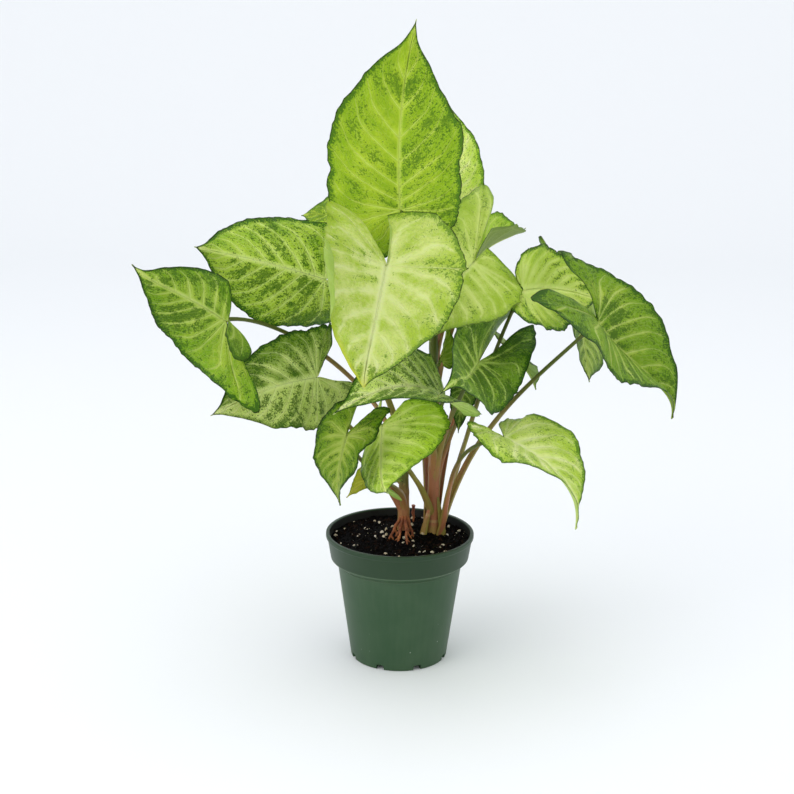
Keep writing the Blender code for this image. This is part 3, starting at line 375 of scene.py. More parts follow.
LEAVES: dict[str, Leaf] = {
    "leaf_crown": Leaf(
        joint=(-0.002, 0.004, 0.3295), tip=(0.007, 0.037, 0.4545), face=(0.08, -0.97, 0.24),
        width=(0.41, 0.35), widest=0.18, full=0.98, lobe=(0.27, 0.16), spread=(0.14, 0.28),
        fold=(10, 16), curl=(0, 5), arch=-0.03, hook=-0.05, sway=0.033, twist=5, slant=(35, 30),
        foot=(0.0, 0.0, 0.25), arrive=(-0.25, -0.25, 1.0),
        look=Look(Palette.LIME, (0.58, 0.38), 0.8, 1.0, (0.34, 0.62), 0.02, (0.92, 1.08)),
    ),
    "leaf_front": Leaf(
        joint=(-0.011, -0.064, 0.302), tip=(-0.023, -0.166, 0.246), face=(0.46, -0.47, 0.75),
        width=(0.46, 0.43), widest=0.04, full=0.43, lobe=(0.49, 0.44), spread=(0.02, 0.35),
        fold=(15, 5), curl=(10, 30), furl=(0, 1), arch=-0.035, hook=-0.05, sway=0.015, twist=15,
        lift=(-0.64, -0.67), slant=(55, -35), foot=(0.0, -0.001, 0.245),
        arrive=(-0.3, -1.0, 0.7),
        look=Look(Palette.CREAM, (0.72, 0.6), 0.62, 1.9, (0.36, 0.12), -0.24, (0.78, 0.12), 0.8,
                  gain=0.84, crisp=0.36),
    ),
    "leaf_rear_crown": Leaf(
        joint=(0.027, 0.074, 0.315), tip=(0.033, 0.116, 0.396), face=(-0.1, -0.88, 0.46),
        width=(0.4, 0.34), widest=0.22, full=0.6, lobe=(0.2, 0.08), spread=(0.2, 0.16),
        fold=(10, 15), curl=(0, 10), arch=0.0, hook=0.02, sway=-0.05, slant=(0, 20),
        foot=(0.001, 0.001, 0.215), arrive=(0.0, 0.2, 1.0),
        look=Look(Palette.CREAM, 0.75, 0.55, 1.1, (0.45, 0.55), -0.1, (1.1, 1.2), crisp=0.6, gain=1.28),
    ),
    "leaf_right_pale": Leaf(
        joint=(0.049, -0.004, 0.295), tip=(0.018, -0.086, 0.258), face=(0.51, -0.51, 0.69),
        width=(0.45, 0.39), widest=0.13, full=0.77, lobe=(0.2, 0.8), spread=(0.02, 0.37),
        fold=(15, 15), curl=(0, -5), arch=-0.05, hook=0.01, sway=-0.04, twist=8,
        lift=(-0.07, -0.27), slant=(-15, -10), foot=(0.001, 0.0, 0.205),
        arrive=(0.5, -0.6, 0.8),
        look=Look(Palette.BUTTER, (0.62, 0.68), 0.7, 1.3, (0.24, 0.28), -0.18, (0.38, 0.5), crisp=0.33),
    ),
    "leaf_rear_right": Leaf(
        joint=(0.053, 0.037, 0.291), tip=(0.093, 0.107, 0.302), face=(0.21, -0.27, 0.94),
        width=(0.3, 0.33), widest=0.34, full=0.8, lobe=(0.28, 0.15), spread=(0.22, 0.16),
        fold=(46, 67), curl=(16, 9), arch=0.012, hook=-0.05, sway=0.048, twist=40,
        lift=(0.0, -0.09), slant=(0, 19), foot=(0.002, 0.002, 0.19),
        # back=0.3 is painted shade on this blade's lower side.
        look=Look(Palette.BUTTER, (0.5, 0.55), 0.6, 1.0, 0.4, 0.05, 0.8, gain=1.35, under=0.05, back=0.3),
    ),
    "leaf_mid_right": Leaf(
        joint=(0.084, -0.002, 0.275), tip=(0.145, 0.046, 0.258), face=(0.6, -0.55, 0.58),
        width=(0.39, 0.45), widest=0.19, full=0.31, lobe=(0.15, 0.33), spread=(0.27, 0.17),
        fold=(28, 8), curl=(13, -1), arch=-0.001, hook=0.013, sway=0.061, twist=-2,
        lift=(0.03, 0.01), slant=(32, 16), foot=(0.004, 0.001, 0.088), leave=(0.3, 0.3, 1.0),
        arrive=(0.4, -0.3, 1.0),
        look=Look(Palette.APPLE, 0.95, 1.1, 2.4, 0.34, -0.05, (0.9, 1.0), gain=1.26, crisp=0.6),
    ),
    "leaf_behind_right": Leaf(
        joint=(0.119, 0.068, 0.276), tip=(0.137, 0.027, 0.204), face=(0.42, -0.74, 0.53),
        width=(0.42, 0.29), widest=0.6, full=1.3, lobe=(0.2, 0.35), spread=(0.12, 0.1),
        fold=(-20, 15), curl=(-12, 42), arch=0.018, hook=-0.05, sway=0.059, twist=-11,
        lift=(0.0, 0.1), slant=(0, 5), foot=(0.002, 0.004, 0.1), leave=(0.1, 0.1, 1.0),
        arrive=(0.9, -0.3, 0.3), bow=(0.5, 0.3),
        look=Look(Palette.MOSS, 0.6, 0.5, 1.0, 0.3, 0.05, 0.7),
    ),
    "leaf_far_right": Leaf(
        joint=(0.133, -0.032, 0.259), tip=(0.189, -0.028, 0.193), face=(0.72, -0.36, 0.59),
        width=(0.48, 0.56), full=1.2, lobe=(0.38, 0.8), spread=(0.54, 0.59), fold=(45, 25),
        curl=(-9, -35), arch=-0.09, hook=0.18, sway=0.07, twist=-5, lift=(-0.64, -0.34),
        slant=(-62, 3), foot=(0.005, 0.002, 0.088), leave=(0.25, -0.1, 1.0),
        arrive=(0.8, -0.3, 0.9), bow=(0.45, 0.35),
        look=Look(Palette.APPLE, (0.42, 0.34), 0.8, 0.9, 0.36, 0.16, 1.0, gain=0.85, crisp=0.8),
    ),
    "leaf_up_left": Leaf(
        joint=(-0.054, -0.009, 0.283), tip=(-0.135, -0.063, 0.313), face=(0.6, -0.76, 0.24),
        width=(0.44, 0.43), widest=0.23, full=0.39, lobe=(0.37, 0.38), spread=(0.21, 0.23),
        fold=(-28, -18), curl=(-8, -17), arch=-0.04, hook=-0.05, sway=-0.025, slant=(-50, 45),
        wave=0.014, waves=1.6, shoot="shoot_left", foot=(0.0, 0.0, 0.15),
        leave=(-0.2, 0.5, 1.0), arrive=(-0.1, -1.0, 0.35),
        look=Look(Palette.APPLE, (1.02, 0.82), 1.05, 1.6, (0.5, 0.55), 0.17, (1.0, 1.1), gain=1.24),
    ),
    "leaf_far_left": Leaf(
        joint=(-0.117, -0.062, 0.264), tip=(-0.172, -0.088, 0.304), face=(0.23, -0.93, -0.29),
        width=(0.52, 0.55), widest=0.17, full=0.0, lobe=(0.62, 0.32), spread=(0.58, 0.22),
        fold=(-30, 20), curl=(10, 50), arch=-0.12, hook=0.2, sway=0.01, twist=40,
        lift=(0.45, 0.45), slant=(85, 120), shoot="shoot_left", foot=(-0.001, -0.001, 0.14),
        leave=(-0.2, 0.6, 1.0), arrive=(-0.5, -1.0, 0.1), ease=0.3,
        look=Look(Palette.APPLE, (0.6, 0.55), 0.8, 1.2, 0.4, 0.14, (1.0, 0.9), under=0.85, crisp=0.8),
    ),
    "leaf_low_left": Leaf(
        joint=(-0.059, -0.023, 0.216), tip=(-0.124, -0.086, 0.206), face=(0.51, -0.61, 0.61),
        width=(0.39, 0.38), widest=0.13, full=0.5, lobe=(0.4, 0.25), spread=(0.13, 0.41),
        fold=(-10, 10), curl=(-5, 0), arch=0.045, hook=-0.05, sway=-0.035, lift=(0.13, 0.04),
        slant=(-60, 10), wave=0.024, waves=2.6, phase=0.2, shoot="shoot_left",
        foot=(0.0, -0.001, 0.125), leave=(-0.8, 0.3, 0.8), arrive=(-0.3, -0.8, 0.9),
        look=Look(Palette.STONE, (1.15, 0.5), 0.9, 1.8, (0.4, 0.5), 0.14, (0.5, 1.1), gain=1.34),
    ),
    "leaf_rear_left": Leaf(
        joint=(-0.028, 0.064, 0.314), tip=(-0.077, 0.112, 0.31), face=(-0.1, -0.8, 0.55),
        lobe=(0.2, 0.2), foot=(-0.0045, 0.004, 0.088),
        look=Look(Palette.LIME, 0.6, 0.6, 1.0, 0.4, 0.05, 0.9),
    ),
    "leaf_centre_low": Leaf(
        joint=(0.029, -0.043, 0.207), tip=(-0.042, -0.106, 0.214), face=(0.38, -0.32, 0.87),
        width=(0.33, 0.43), widest=0.18, full=0.72, lobe=(0.14, 0.14), spread=(0.12, 0.2),
        fold=(25, 15), arch=0.16, sway=-0.01, twist=-5, lift=(-1.0, -1.0), wave=0.016,
        waves=1.8, foot=(-0.001, -0.002, 0.13),
        look=Look(Palette.STONE, (0.84, 0.8), 1.0, 1.7, 0.5, 0.2, 0.9, gain=1.95, crisp=0.9),
    ),
    "leaf_left_droop": Leaf(
        joint=(-0.036, -0.086, 0.192), tip=(-0.04, -0.101, 0.15), face=(-0.44, -0.83, 0.35),
        width=(0.45, 0.48), widest=0.26, full=1.4, lobe=(0.62, 0.6), spread=(0.53, 0.02),
        fold=(29, 5), curl=(-28, -3), arch=0.09, hook=0.034, sway=0.001, twist=35,
        lift=(0.05, -0.15), slant=(-60, 34), shoot="shoot_left", foot=(-0.001, -0.002, 0.105),
        leave=(-0.5, 0.0, 1.0), arrive=(-0.15, -0.7, 0.75),
        look=Look(Palette.APPLE, (0.5, 0.52), 0.6, 1.1, 0.4, 0.12, 0.9, gain=0.74, crisp=0.6),
    ),
    "leaf_front_low": Leaf(
        joint=(-0.013, -0.061, 0.192), tip=(-0.009, -0.142, 0.172), face=(-0.35, -0.24, 0.91),
        width=(0.56, 0.26), widest=0.11, full=0.15, lobe=(0.24, 0.42), spread=(0.29, 0.19),
        fold=(-2, -21), curl=(-13, -3), arch=-0.107, hook=0.011, sway=-0.068, twist=12,
        lift=(-0.06, 0.0), slant=(-13, -48), foot=(-0.002, -0.002, 0.105),
        leave=(-0.3, -0.3, 1.0),
        look=Look(Palette.BUTTER, (0.5, 0.55), 0.7, 1.2, (0.25, 0.28), -0.06, (0.8, 0.9),
                  gain=1.2, crisp=0.5),
    ),
    "leaf_right_low": Leaf(
        joint=(0.07, -0.053, 0.182), tip=(0.117, -0.094, 0.135), face=(0.41, -0.44, 0.8),
        width=(0.56, 0.56), widest=0.3, full=-0.09, lobe=(0.19, 0.15), spread=(0.42, 0.5),
        fold=(18, 19), curl=(-2, -35), arch=0.068, hook=0.16, sway=0.056, twist=-39,
        lift=(0.16, 0.03), slant=(-59, 69), foot=(0.0055, -0.003, 0.088),
        leave=(0.2, -0.2, 1.0), arrive=(1.0, -0.3, 0.15),
        look=Look(Palette.CREAM, 0.62, 0.8, 1.5, (0.48, 0.44), -0.02, 1.0, gain=1.08, crisp=0.6),
    ),
    "leaf_centre_right": Leaf(
        joint=(0.053, -0.023, 0.228), tip=(0.025, -0.116, 0.23), face=(0.56, -0.15, 0.81),
        width=(0.35, 0.38), widest=0.05, full=0.86, lobe=(0.67, 0.98), spread=(0.27, 0.02),
        fold=(-7, 21), curl=(-17, 33), arch=-0.097, hook=0.22, sway=0.033, twist=-3,
        lift=(-0.05, -0.05), slant=(62, 70), foot=(0.001, -0.002, 0.12),
        look=Look(Palette.MOSS, (0.42, 0.46), 0.85, 1.1, 0.4, 0.24, 1.0, gain=1.35, crisp=0.7),
    ),
    "leaf_hidden_right": Leaf(
        joint=(0.079, 0.066, 0.218), tip=(0.106, 0.108, 0.176), face=(0.4, -0.1, 0.9),
        width=(0.34, 0.3), lobe=(0.15, 0.15), foot=(0.002, 0.003, 0.12),
        look=Look(Palette.MOSS, 0.5, 0.8, 1.0, 0.4, 0.15, 0.9),
    ),
    "leaf_yellow": Leaf(
        joint=(-0.012, -0.052, 0.158), tip=(-0.036, -0.074, 0.146), face=(-0.3, -0.7, 0.6),
        width=(0.36, 0.36), lobe=(0.25, 0.25), shoot="shoot_left",
        foot=(0.001, -0.002, 0.1), radii=(0.0022, 0.0011),
        look=Look(Palette.STRAW, 0.5, 0.6, 1.0, 0.15, -0.3, 0.3),
    ),
    "leaf_young_low": Leaf(
        joint=(0.045, 0.006, 0.202), tip=(0.041, -0.004, 0.172), face=(-0.3, -0.9, 0.3),
        width=(0.34, 0.3), lobe=(0.15, 0.15), foot=(0.002, -0.002, 0.12),
        radii=(0.002, 0.001),
        look=Look(Palette.FERN, 0.25, 0.8, 0.7, 0.35, 0.35, 0.8),
    ),
    "leaf_young_curl": Leaf(
        joint=(0.009, 0.002, 0.203), tip=(-0.001, -0.008, 0.238), face=(0.5, -0.7, 0.3),
        width=(0.26, 0.26), lobe=(0.15, 0.15), fold=(50, 50),
        foot=(-0.0012, -0.0008, 0.163), radii=(0.002, 0.001),
        look=Look(Palette.LIME, 0.55, 0.7, 0.8, 0.2, -0.1, 0.5),
    ),
    "leaf_young_pale": Leaf(
        joint=(0.028, -0.002, 0.224), tip=(0.032, 0.006, 0.25), face=(0.6, -0.6, 0.4),
        width=(0.34, 0.34), lobe=(0.15, 0.15), fold=(45, 45),
        foot=(0.0005, -0.0015, 0.172), radii=(0.002, 0.001),
        look=Look(Palette.APPLE, 0.75, 0.6, 0.9, 0.2, -0.1, 0.5),
    ),
}

SHOOTS: dict[str, Shoot] = {
    "shoot_right": Shoot(
        centre=(0.025, 0.014),
        stem=(
            (0.0245, 0.013, 0.08),
            (0.0245, 0.011, 0.14),
            (0.0235, 0.007, 0.2),
            (0.0215, 0.003, 0.262),
        ),
        roots=(),
        tone=0.95,
        cuffs=(
            ((-0.0082, -0.004, -0.004), (-0.0022, -0.0056, 0.026), 0.95),
            ((0.008, -0.0035, -0.004), (0.0034, -0.005, 0.03), 0.15),
        ),
    ),
    "shoot_left": Shoot(
        centre=(0.003, 0.018),
        stem=((0.003, 0.018, 0.08), (0.0025, 0.016, 0.12), (0.0015, 0.013, 0.165)),
        roots=(
            ((0.0005, 0.0155), (-0.009, -0.003)),
            ((0.002, 0.014), (-0.0015, -0.009)),
            ((0.004, 0.014), (0.0055, -0.015)),
            ((0.0055, 0.0155), (0.011, 0.0)),
            ((0.0102, 0.04), (0.0104, 0.0408)),
        ),
        tone=0.7,
        bud=((0.001, 0.013, 0.13), (-0.011, -0.031, 0.14), (0.0011, -0.032, 0.1292)),
    ),
}


def plain_mix(first: Colour, second: Colour, share: float) -> Colour:
    """Plain colour between two plain colours."""
    return tuple(a + (b - a) * share for a, b in zip(first, second))


class Skin:
    """What the two sides of a blade share: its maps, veins and clouds as signals.

    Names with MM are widths in millimetres, and names with SHARE are shares of the way from
    midrib to margin. The grains hold cells to the metre, detail and roughness.
    """

    VEIN_MM = 0.62
    VEIN_GLOW_MM = 3.0
    RIB_MM = 1.0
    RIB_GLOW_MM = 3.6
    MINOR_MM = 0.36
    COLLECTING_SHARE = 0.075
    COLLECTING_MM = 0.9
    EDGE_SHARE = 0.075
    EDGE_MM = 1.2
    LINE_MM = 1.05
    CREASE_SHADE_MM = 0.30
    LOWER_LINE_MM = 0.6
    MINOR_COUNT = 4.0
    CROSS_PER_MM = 0.30
    CROSS_PITCH_MM = 3.3
    CLOUD = (60.0, 3.0, 0.6)
    MOTTLE = (330.0, 3.0, 0.65)
    SPECK = (1000.0, 2.0, 0.6)
    ZONE = (38.0, 2.0, 0.5)
    DRY_COUNT = (12.22, 12.42)
    DRY: Colour = (0.075, 0.050, 0.012)
    AGED: Colour = (0.58, 0.60, 0.035)
    MARGIN: Colour = (0.006, 0.008, 0.0)
    FLESH = {"Subsurface_Radius": (0.6, 1.0, 0.10), "Subsurface_Scale": 0.0010}

    def __init__(self, sheet: Sheet, look: Look, seed: float) -> None:
        """Reads the maps and works out the veins.

        Args:
            sheet: The material's tree.
            look: The blade's colouring.
            seed: Number that sets the blade's streaks apart from the others'.
        """
        self.sheet = sheet
        self.look = look
        count, side = sheet.uv("veins")
        pitch, span = sheet.uv("sizes")
        self.share = abs(side)
        self.right = side.ramp(-0.02, 0.02)
        self.place = sheet.place()
        self.rib_mm = self.share * span
        self.rim_mm = (1.0 - self.share) * span
        self.cloud = sheet.grain(self.place, *self.CLOUD)
        self.mottle = sheet.grain(self.place, *self.MOTTLE)
        self.speck = sheet.grain(self.place, *self.SPECK)
        self.streak = sheet.grain(sheet.join(count * 12.0, side * 15.0, seed), 1.0, 2.0, 0.6)
        wander = sheet.grain(self.place, 110.0, 2.0) - 0.5
        arch = self.share * 0.15 + self.share.ramp(0.62, 1.1) * 0.55
        self.count = count - arch + wander * 0.16 * self.share.ramp(0.0, 0.5)
        nearest = self.count.to_nearest()
        self.between = nearest * 2.0
        vein_mm = nearest * pitch
        slim = 1.15 - 0.75 * self.share
        inside = (self.rim_mm / (self.COLLECTING_SHARE * span + 1.4)).ramp(0.0, 1.4)
        thick = slim * (0.7 + self.cloud * 0.6)
        self.vein = (vein_mm / (thick * self.VEIN_MM)).fall(0.1, 1.7) * inside
        glow_mm = thick * look.broad * self.VEIN_GLOW_MM
        self.vein_glow = (vein_mm / glow_mm).fall(0.0, 1.0) * inside
        minor = (self.count * self.MINOR_COUNT + wander * 2.0 + 0.5).to_nearest() * pitch / self.MINOR_COUNT
        cross = self.rib_mm * self.CROSS_PER_MM + (self.cloud - 0.5) * 9.0
        cross = cross.to_nearest() * self.CROSS_PITCH_MM
        net = (minor / self.MINOR_MM).fall(0.1, 2.0)
        cross = (cross / self.MINOR_MM).fall(0.1, 2.0) * self.between.ramp(0.1, 0.5)
        self.minor = net.most(cross * 0.8) * inside * self.share.ramp(0.06, 0.3)
        bow = self.between * 0.020 * span + wander * 1.6
        collect = abs(self.rim_mm - (self.COLLECTING_SHARE * span + 1.0 + bow))
        collect = (collect / self.COLLECTING_MM).fall(0.0, 1.3)
        self.collecting = collect * (self.cloud + 0.05).ramp(0.3, 0.8)
        self.rib_glow = (self.rib_mm / (look.broad * self.RIB_GLOW_MM)).fall(0.05, 1.0)
        self.rib = (self.rib_mm / self.RIB_MM).fall(0.5, 1.25)
        self.edge = (self.rim_mm / (self.EDGE_SHARE * span + self.EDGE_MM)).fall(0.2, 1.3)

    def sided(self, value: Sides) -> Signal | float:
        """A value that may differ between the left and the right half."""
        if isinstance(value, float):
            return value
        return value[0] + self.right * (value[1] - value[0])

    def pattern(self) -> Signal:
        """Colour of the blade: pale middle, whitish veins, green specks and a dark rim."""
        look, sheet = self.look, self.sheet
        dark, green, pale, vein, _ = look.colours
        cloud, mottle, speck = self.cloud, self.mottle, self.speck
        paleness = self.sided(look.pale) + (cloud - 0.5) * 1.5 + (mottle - 0.5) * 1.1 + (speck - 0.5) * 0.5
        paleness = paleness + (self.streak - 0.5) * 0.35 - self.share.ramp(0.45, 1.0) * 0.30
        glow = self.vein_glow * (cloud * 1.8 - 0.35).most(0.1).least(1.0)
        paleness = paleness + glow * 0.35 + self.rib_glow * 0.45 - self.between.ramp(0.3, 1.0) * 0.16
        base = sheet.blend(paleness.ramp(0.05, 0.95), green, pale)
        soft = (glow * 0.50).most(self.rib_glow * 0.66) * (0.35 + mottle * 0.7 + cloud * 0.6)
        fine = self.collecting.most(self.minor) * 0.26
        sharp = (self.vein * 0.85).most(self.rib).most(fine) * look.crisp
        veins = (soft.most(sharp * (0.50 + cloud * 0.6)) * look.veins).most(0.0).least(1.0)
        base = sheet.blend(veins, base, vein)
        zone = (sheet.grain(self.place, *self.ZONE) - 0.5) * 2.4 + look.blotch + self.between * 0.30
        patch = zone + (mottle - 0.5) * 2.6 + (speck - 0.5) * 2.2 - self.rib_glow * 0.6 - glow * 0.50
        patch = (patch - 0.30).ramp(0.0, 0.34) * (1.0 - sharp * 0.7).most(0.0)
        base = sheet.blend(patch * 0.88, base, plain_mix(dark, green, 0.20))
        fleck = self.sided(look.fleck)
        grains = (speck * 0.8 + self.streak * 0.9 + mottle * 0.3 + fleck * 0.20 - 1.20).ramp(0.0, 0.06)
        spread = (zone * 0.30 + fleck + self.share * 0.45 - 0.40).ramp(0.0, 0.5)
        base = sheet.blend(grains * spread * (0.95 - veins * 0.35).most(0.0), base, dark)
        rim = self.sided(look.rim)
        hatch = (self.streak * 1.1 + speck * 1.1 + mottle * 0.3 + self.edge * 0.36 - 1.39).ramp(0.0, 0.13)
        shade = (self.edge * 1.7).least(1.0) * hatch * 0.90 + self.edge * 0.20
        base = sheet.blend(shade * rim, base, dark)
        line = ((self.rim_mm + (speck - 0.5) * 1.6) / self.LINE_MM).fall(0.35, 1.0)
        dashes = (self.streak * 1.2 + mottle * 1.2 - 0.95).ramp(0.0, 0.30)
        ragged = (line * (0.25 + rim) * (0.12 + dashes * 0.88)).least(1.0)
        base = sheet.blend(ragged, base, plain_mix(dark, self.MARGIN, 0.75))
        if look.yellow > 0.0:
            aged = self.edge * self.right * self.count.ramp(6.5, 9.5)
            aged = aged.most(self.count.ramp(10.4, 12.0)) * look.yellow
            base = sheet.blend((aged * (0.3 + cloud * 0.9)).least(1.0), base, self.AGED)
        dry = self.count.ramp(*self.DRY_COUNT) * (1.0 - look.yellow)
        return sheet.blend(dry * 0.7, base, self.DRY)


@dataclass(frozen=True)
class UpperSkin:
    """Upper side of a blade: pale middle, whitish veins, green specks, a dark rim and painted shade in the
    midrib's groove.
    """

    name: str
    look: Look
    seed: float

    def make(self) -> bpy.types.Material:
        """Builds the finish."""
        look, sheet = self.look, Sheet(self.name + "_upper")
        skin = Skin(sheet, look, self.seed)
        base = skin.pattern()
        # Painted shade: a thin dark line in the midrib's groove from the joint, fading out towards the tip.
        painted_crease_shade = (skin.rib_mm / Skin.CREASE_SHADE_MM).fall(0.2, 1.0)
        painted_crease_shade = painted_crease_shade * (1.0 - skin.count.ramp(5.5, 9.0) * 0.85)
        base = sheet.blend(painted_crease_shade * 0.75, base, look.colours[0])
        height = skin.mottle * 0.34 + skin.cloud * 0.4 + skin.speck * 0.12 - skin.vein * 0.40 * look.crisp
        height = height - skin.minor * 0.25 - skin.collecting * 0.2 - skin.rib * 0.35
        return sheet.finish(
            Base_Color=base,
            Roughness=0.42 + skin.mottle * 0.16,
            Normal=sheet.relief(height, 0.00100, 0.95),
            Subsurface_Weight=0.12,
            Specular_IOR_Level=0.15,
            **Skin.FLESH,
        )


@dataclass(frozen=True)
class LowerSkin:
    """Lower side of a blade: matt and even, with its veins raised."""

    name: str
    look: Look
    seed: float

    def make(self) -> bpy.types.Material:
        """Builds the finish."""
        look, sheet = self.look, Sheet(self.name + "_lower")
        skin = Skin(sheet, look, self.seed)
        dark, _, pale, vein, under = look.colours
        tone = skin.cloud * 0.5 + skin.mottle * 0.5
        deep, light = plain_mix(under, dark, 0.22), plain_mix(under, pale, 0.30)
        base = sheet.blend((tone * 0.9).least(1.0), deep, light)
        base = sheet.blend(look.under, base, skin.pattern())
        veins = skin.vein.most(skin.rib).most(skin.collecting * 0.35).most(skin.minor * 0.22)
        veins = (veins + skin.rib_glow * 0.2).least(1.0) * (0.5 - 0.35 * look.under)
        base = sheet.blend(veins, base, plain_mix(pale, vein, 0.35))
        line = (skin.rim_mm / Skin.LOWER_LINE_MM).fall(0.25, 1.0)
        base = sheet.blend(line * 0.6 * skin.sided(look.rim), base, dark)
        height = tone * 0.3 + skin.vein + skin.rib * 0.6 + skin.minor * 0.4
        return sheet.finish(
            Base_Color=base,
            Roughness=0.56 + skin.mottle * 0.12,
            Normal=sheet.relief(height, 0.00045, 0.7),
            Subsurface_Weight=0.15,
            Specular_IOR_Level=0.18,
            **Skin.FLESH,
        )


@dataclass(frozen=True)
class StalkSkin:
    """Stems, petioles and their sheaths: pinkish brown at the foot, olive above, finely ribbed."""

    name: str
    brown: Colour = (0.400, 0.150, 0.070)
    olive: Colour = (0.260, 0.230, 0.045)
    green: Colour = (0.090, 0.120, 0.018)

    SCAR = (0.50, 0.36, 0.15)
    SCAR_MM = 21.0
    FOOT_MM = (18.0, 23.0)
    OLD = (0.90, 0.94)

    def make(self) -> bpy.types.Material:
        """Builds the finish from the stalk map (turn, millimetres) and the tone map (share, tone)."""
        sheet = Sheet(self.name)
        turn, run = sheet.uv("stalk")
        share, tone = sheet.uv("tone")
        place = sheet.place()
        cloud = sheet.grain(place, 60.0, 3.0, 0.6)
        ribs = sheet.grain(sheet.join(turn * 26.0, run * 0.035, tone * 5.0), 1.0, 2.0)
        speck = sheet.grain(place, 700.0, 2.0, 0.6)
        low = share.fall(0.05, 0.35)
        tan = (tone + low * 0.12 + (cloud - 0.5) * 0.7 + (ribs - 0.5) * 0.5).ramp(0.15, 0.85)
        wing = (abs((turn - 0.5).to_nearest() - 0.25) * -1.0 + 0.25).ramp(0.13, 0.24)
        tan = tan * (1.0 - wing * share.fall(0.25, 0.55) * 0.85)
        base = sheet.blend(tan, self.olive, self.brown)
        ring = abs(run - self.SCAR_MM).fall(0.5, 1.6) * tone.ramp(*self.OLD)
        base = sheet.blend(ring * 0.6, base, self.SCAR)
        foot = (run + cloud * 6.0).fall(*self.FOOT_MM) * tone.ramp(*self.OLD) * 0.55
        base = sheet.blend(foot, base, self.olive)
        base = sheet.blend((share * 1.3 + (cloud - 0.5) * 0.5).ramp(0.35, 1.0), base, self.green)
        base = sheet.blend((ribs - 0.35).ramp(0.0, 0.4) * 0.30, base, tuple(0.45 * c for c in self.olive))
        base = sheet.blend((speck - 0.60).ramp(0.0, 0.1) * 0.35, base, tuple(0.3 * c for c in self.brown))
        return sheet.finish(
            Base_Color=base,
            Roughness=0.34 + cloud * 0.2,
            Normal=sheet.relief(ribs + speck * 0.15, 0.0003, 0.6),
            Subsurface_Weight=0.12,
            Subsurface_Radius=(1.0, 0.6, 0.2),
            Subsurface_Scale=0.0015,
            Specular_IOR_Level=0.30,
        )


@dataclass(frozen=True)
class RootSkin:
    """Aerial roots: orange brown, matt and scaly."""

    name: str = "aerial_root"
    pale: Colour = (0.50, 0.17, 0.050)
    dark: Colour = (0.155, 0.036, 0.012)

    def make(self) -> bpy.types.Material:
        """Builds the finish."""
        sheet = Sheet(self.name)
        place = sheet.place()
        cloud = sheet.grain(place, 170.0, 3.0, 0.6)
        scale = sheet.grain(place, 1300.0, 3.0, 0.7)
        base = sheet.blend((cloud * 1.5 - 0.35 + (scale - 0.5) * 0.8).ramp(0.0, 1.0), self.dark, self.pale)
        normal = sheet.relief(scale + cloud * 0.3, 0.0004, 0.8)
        return sheet.finish(Base_Color=base, Roughness=0.66 + scale * 0.2, Normal=normal)


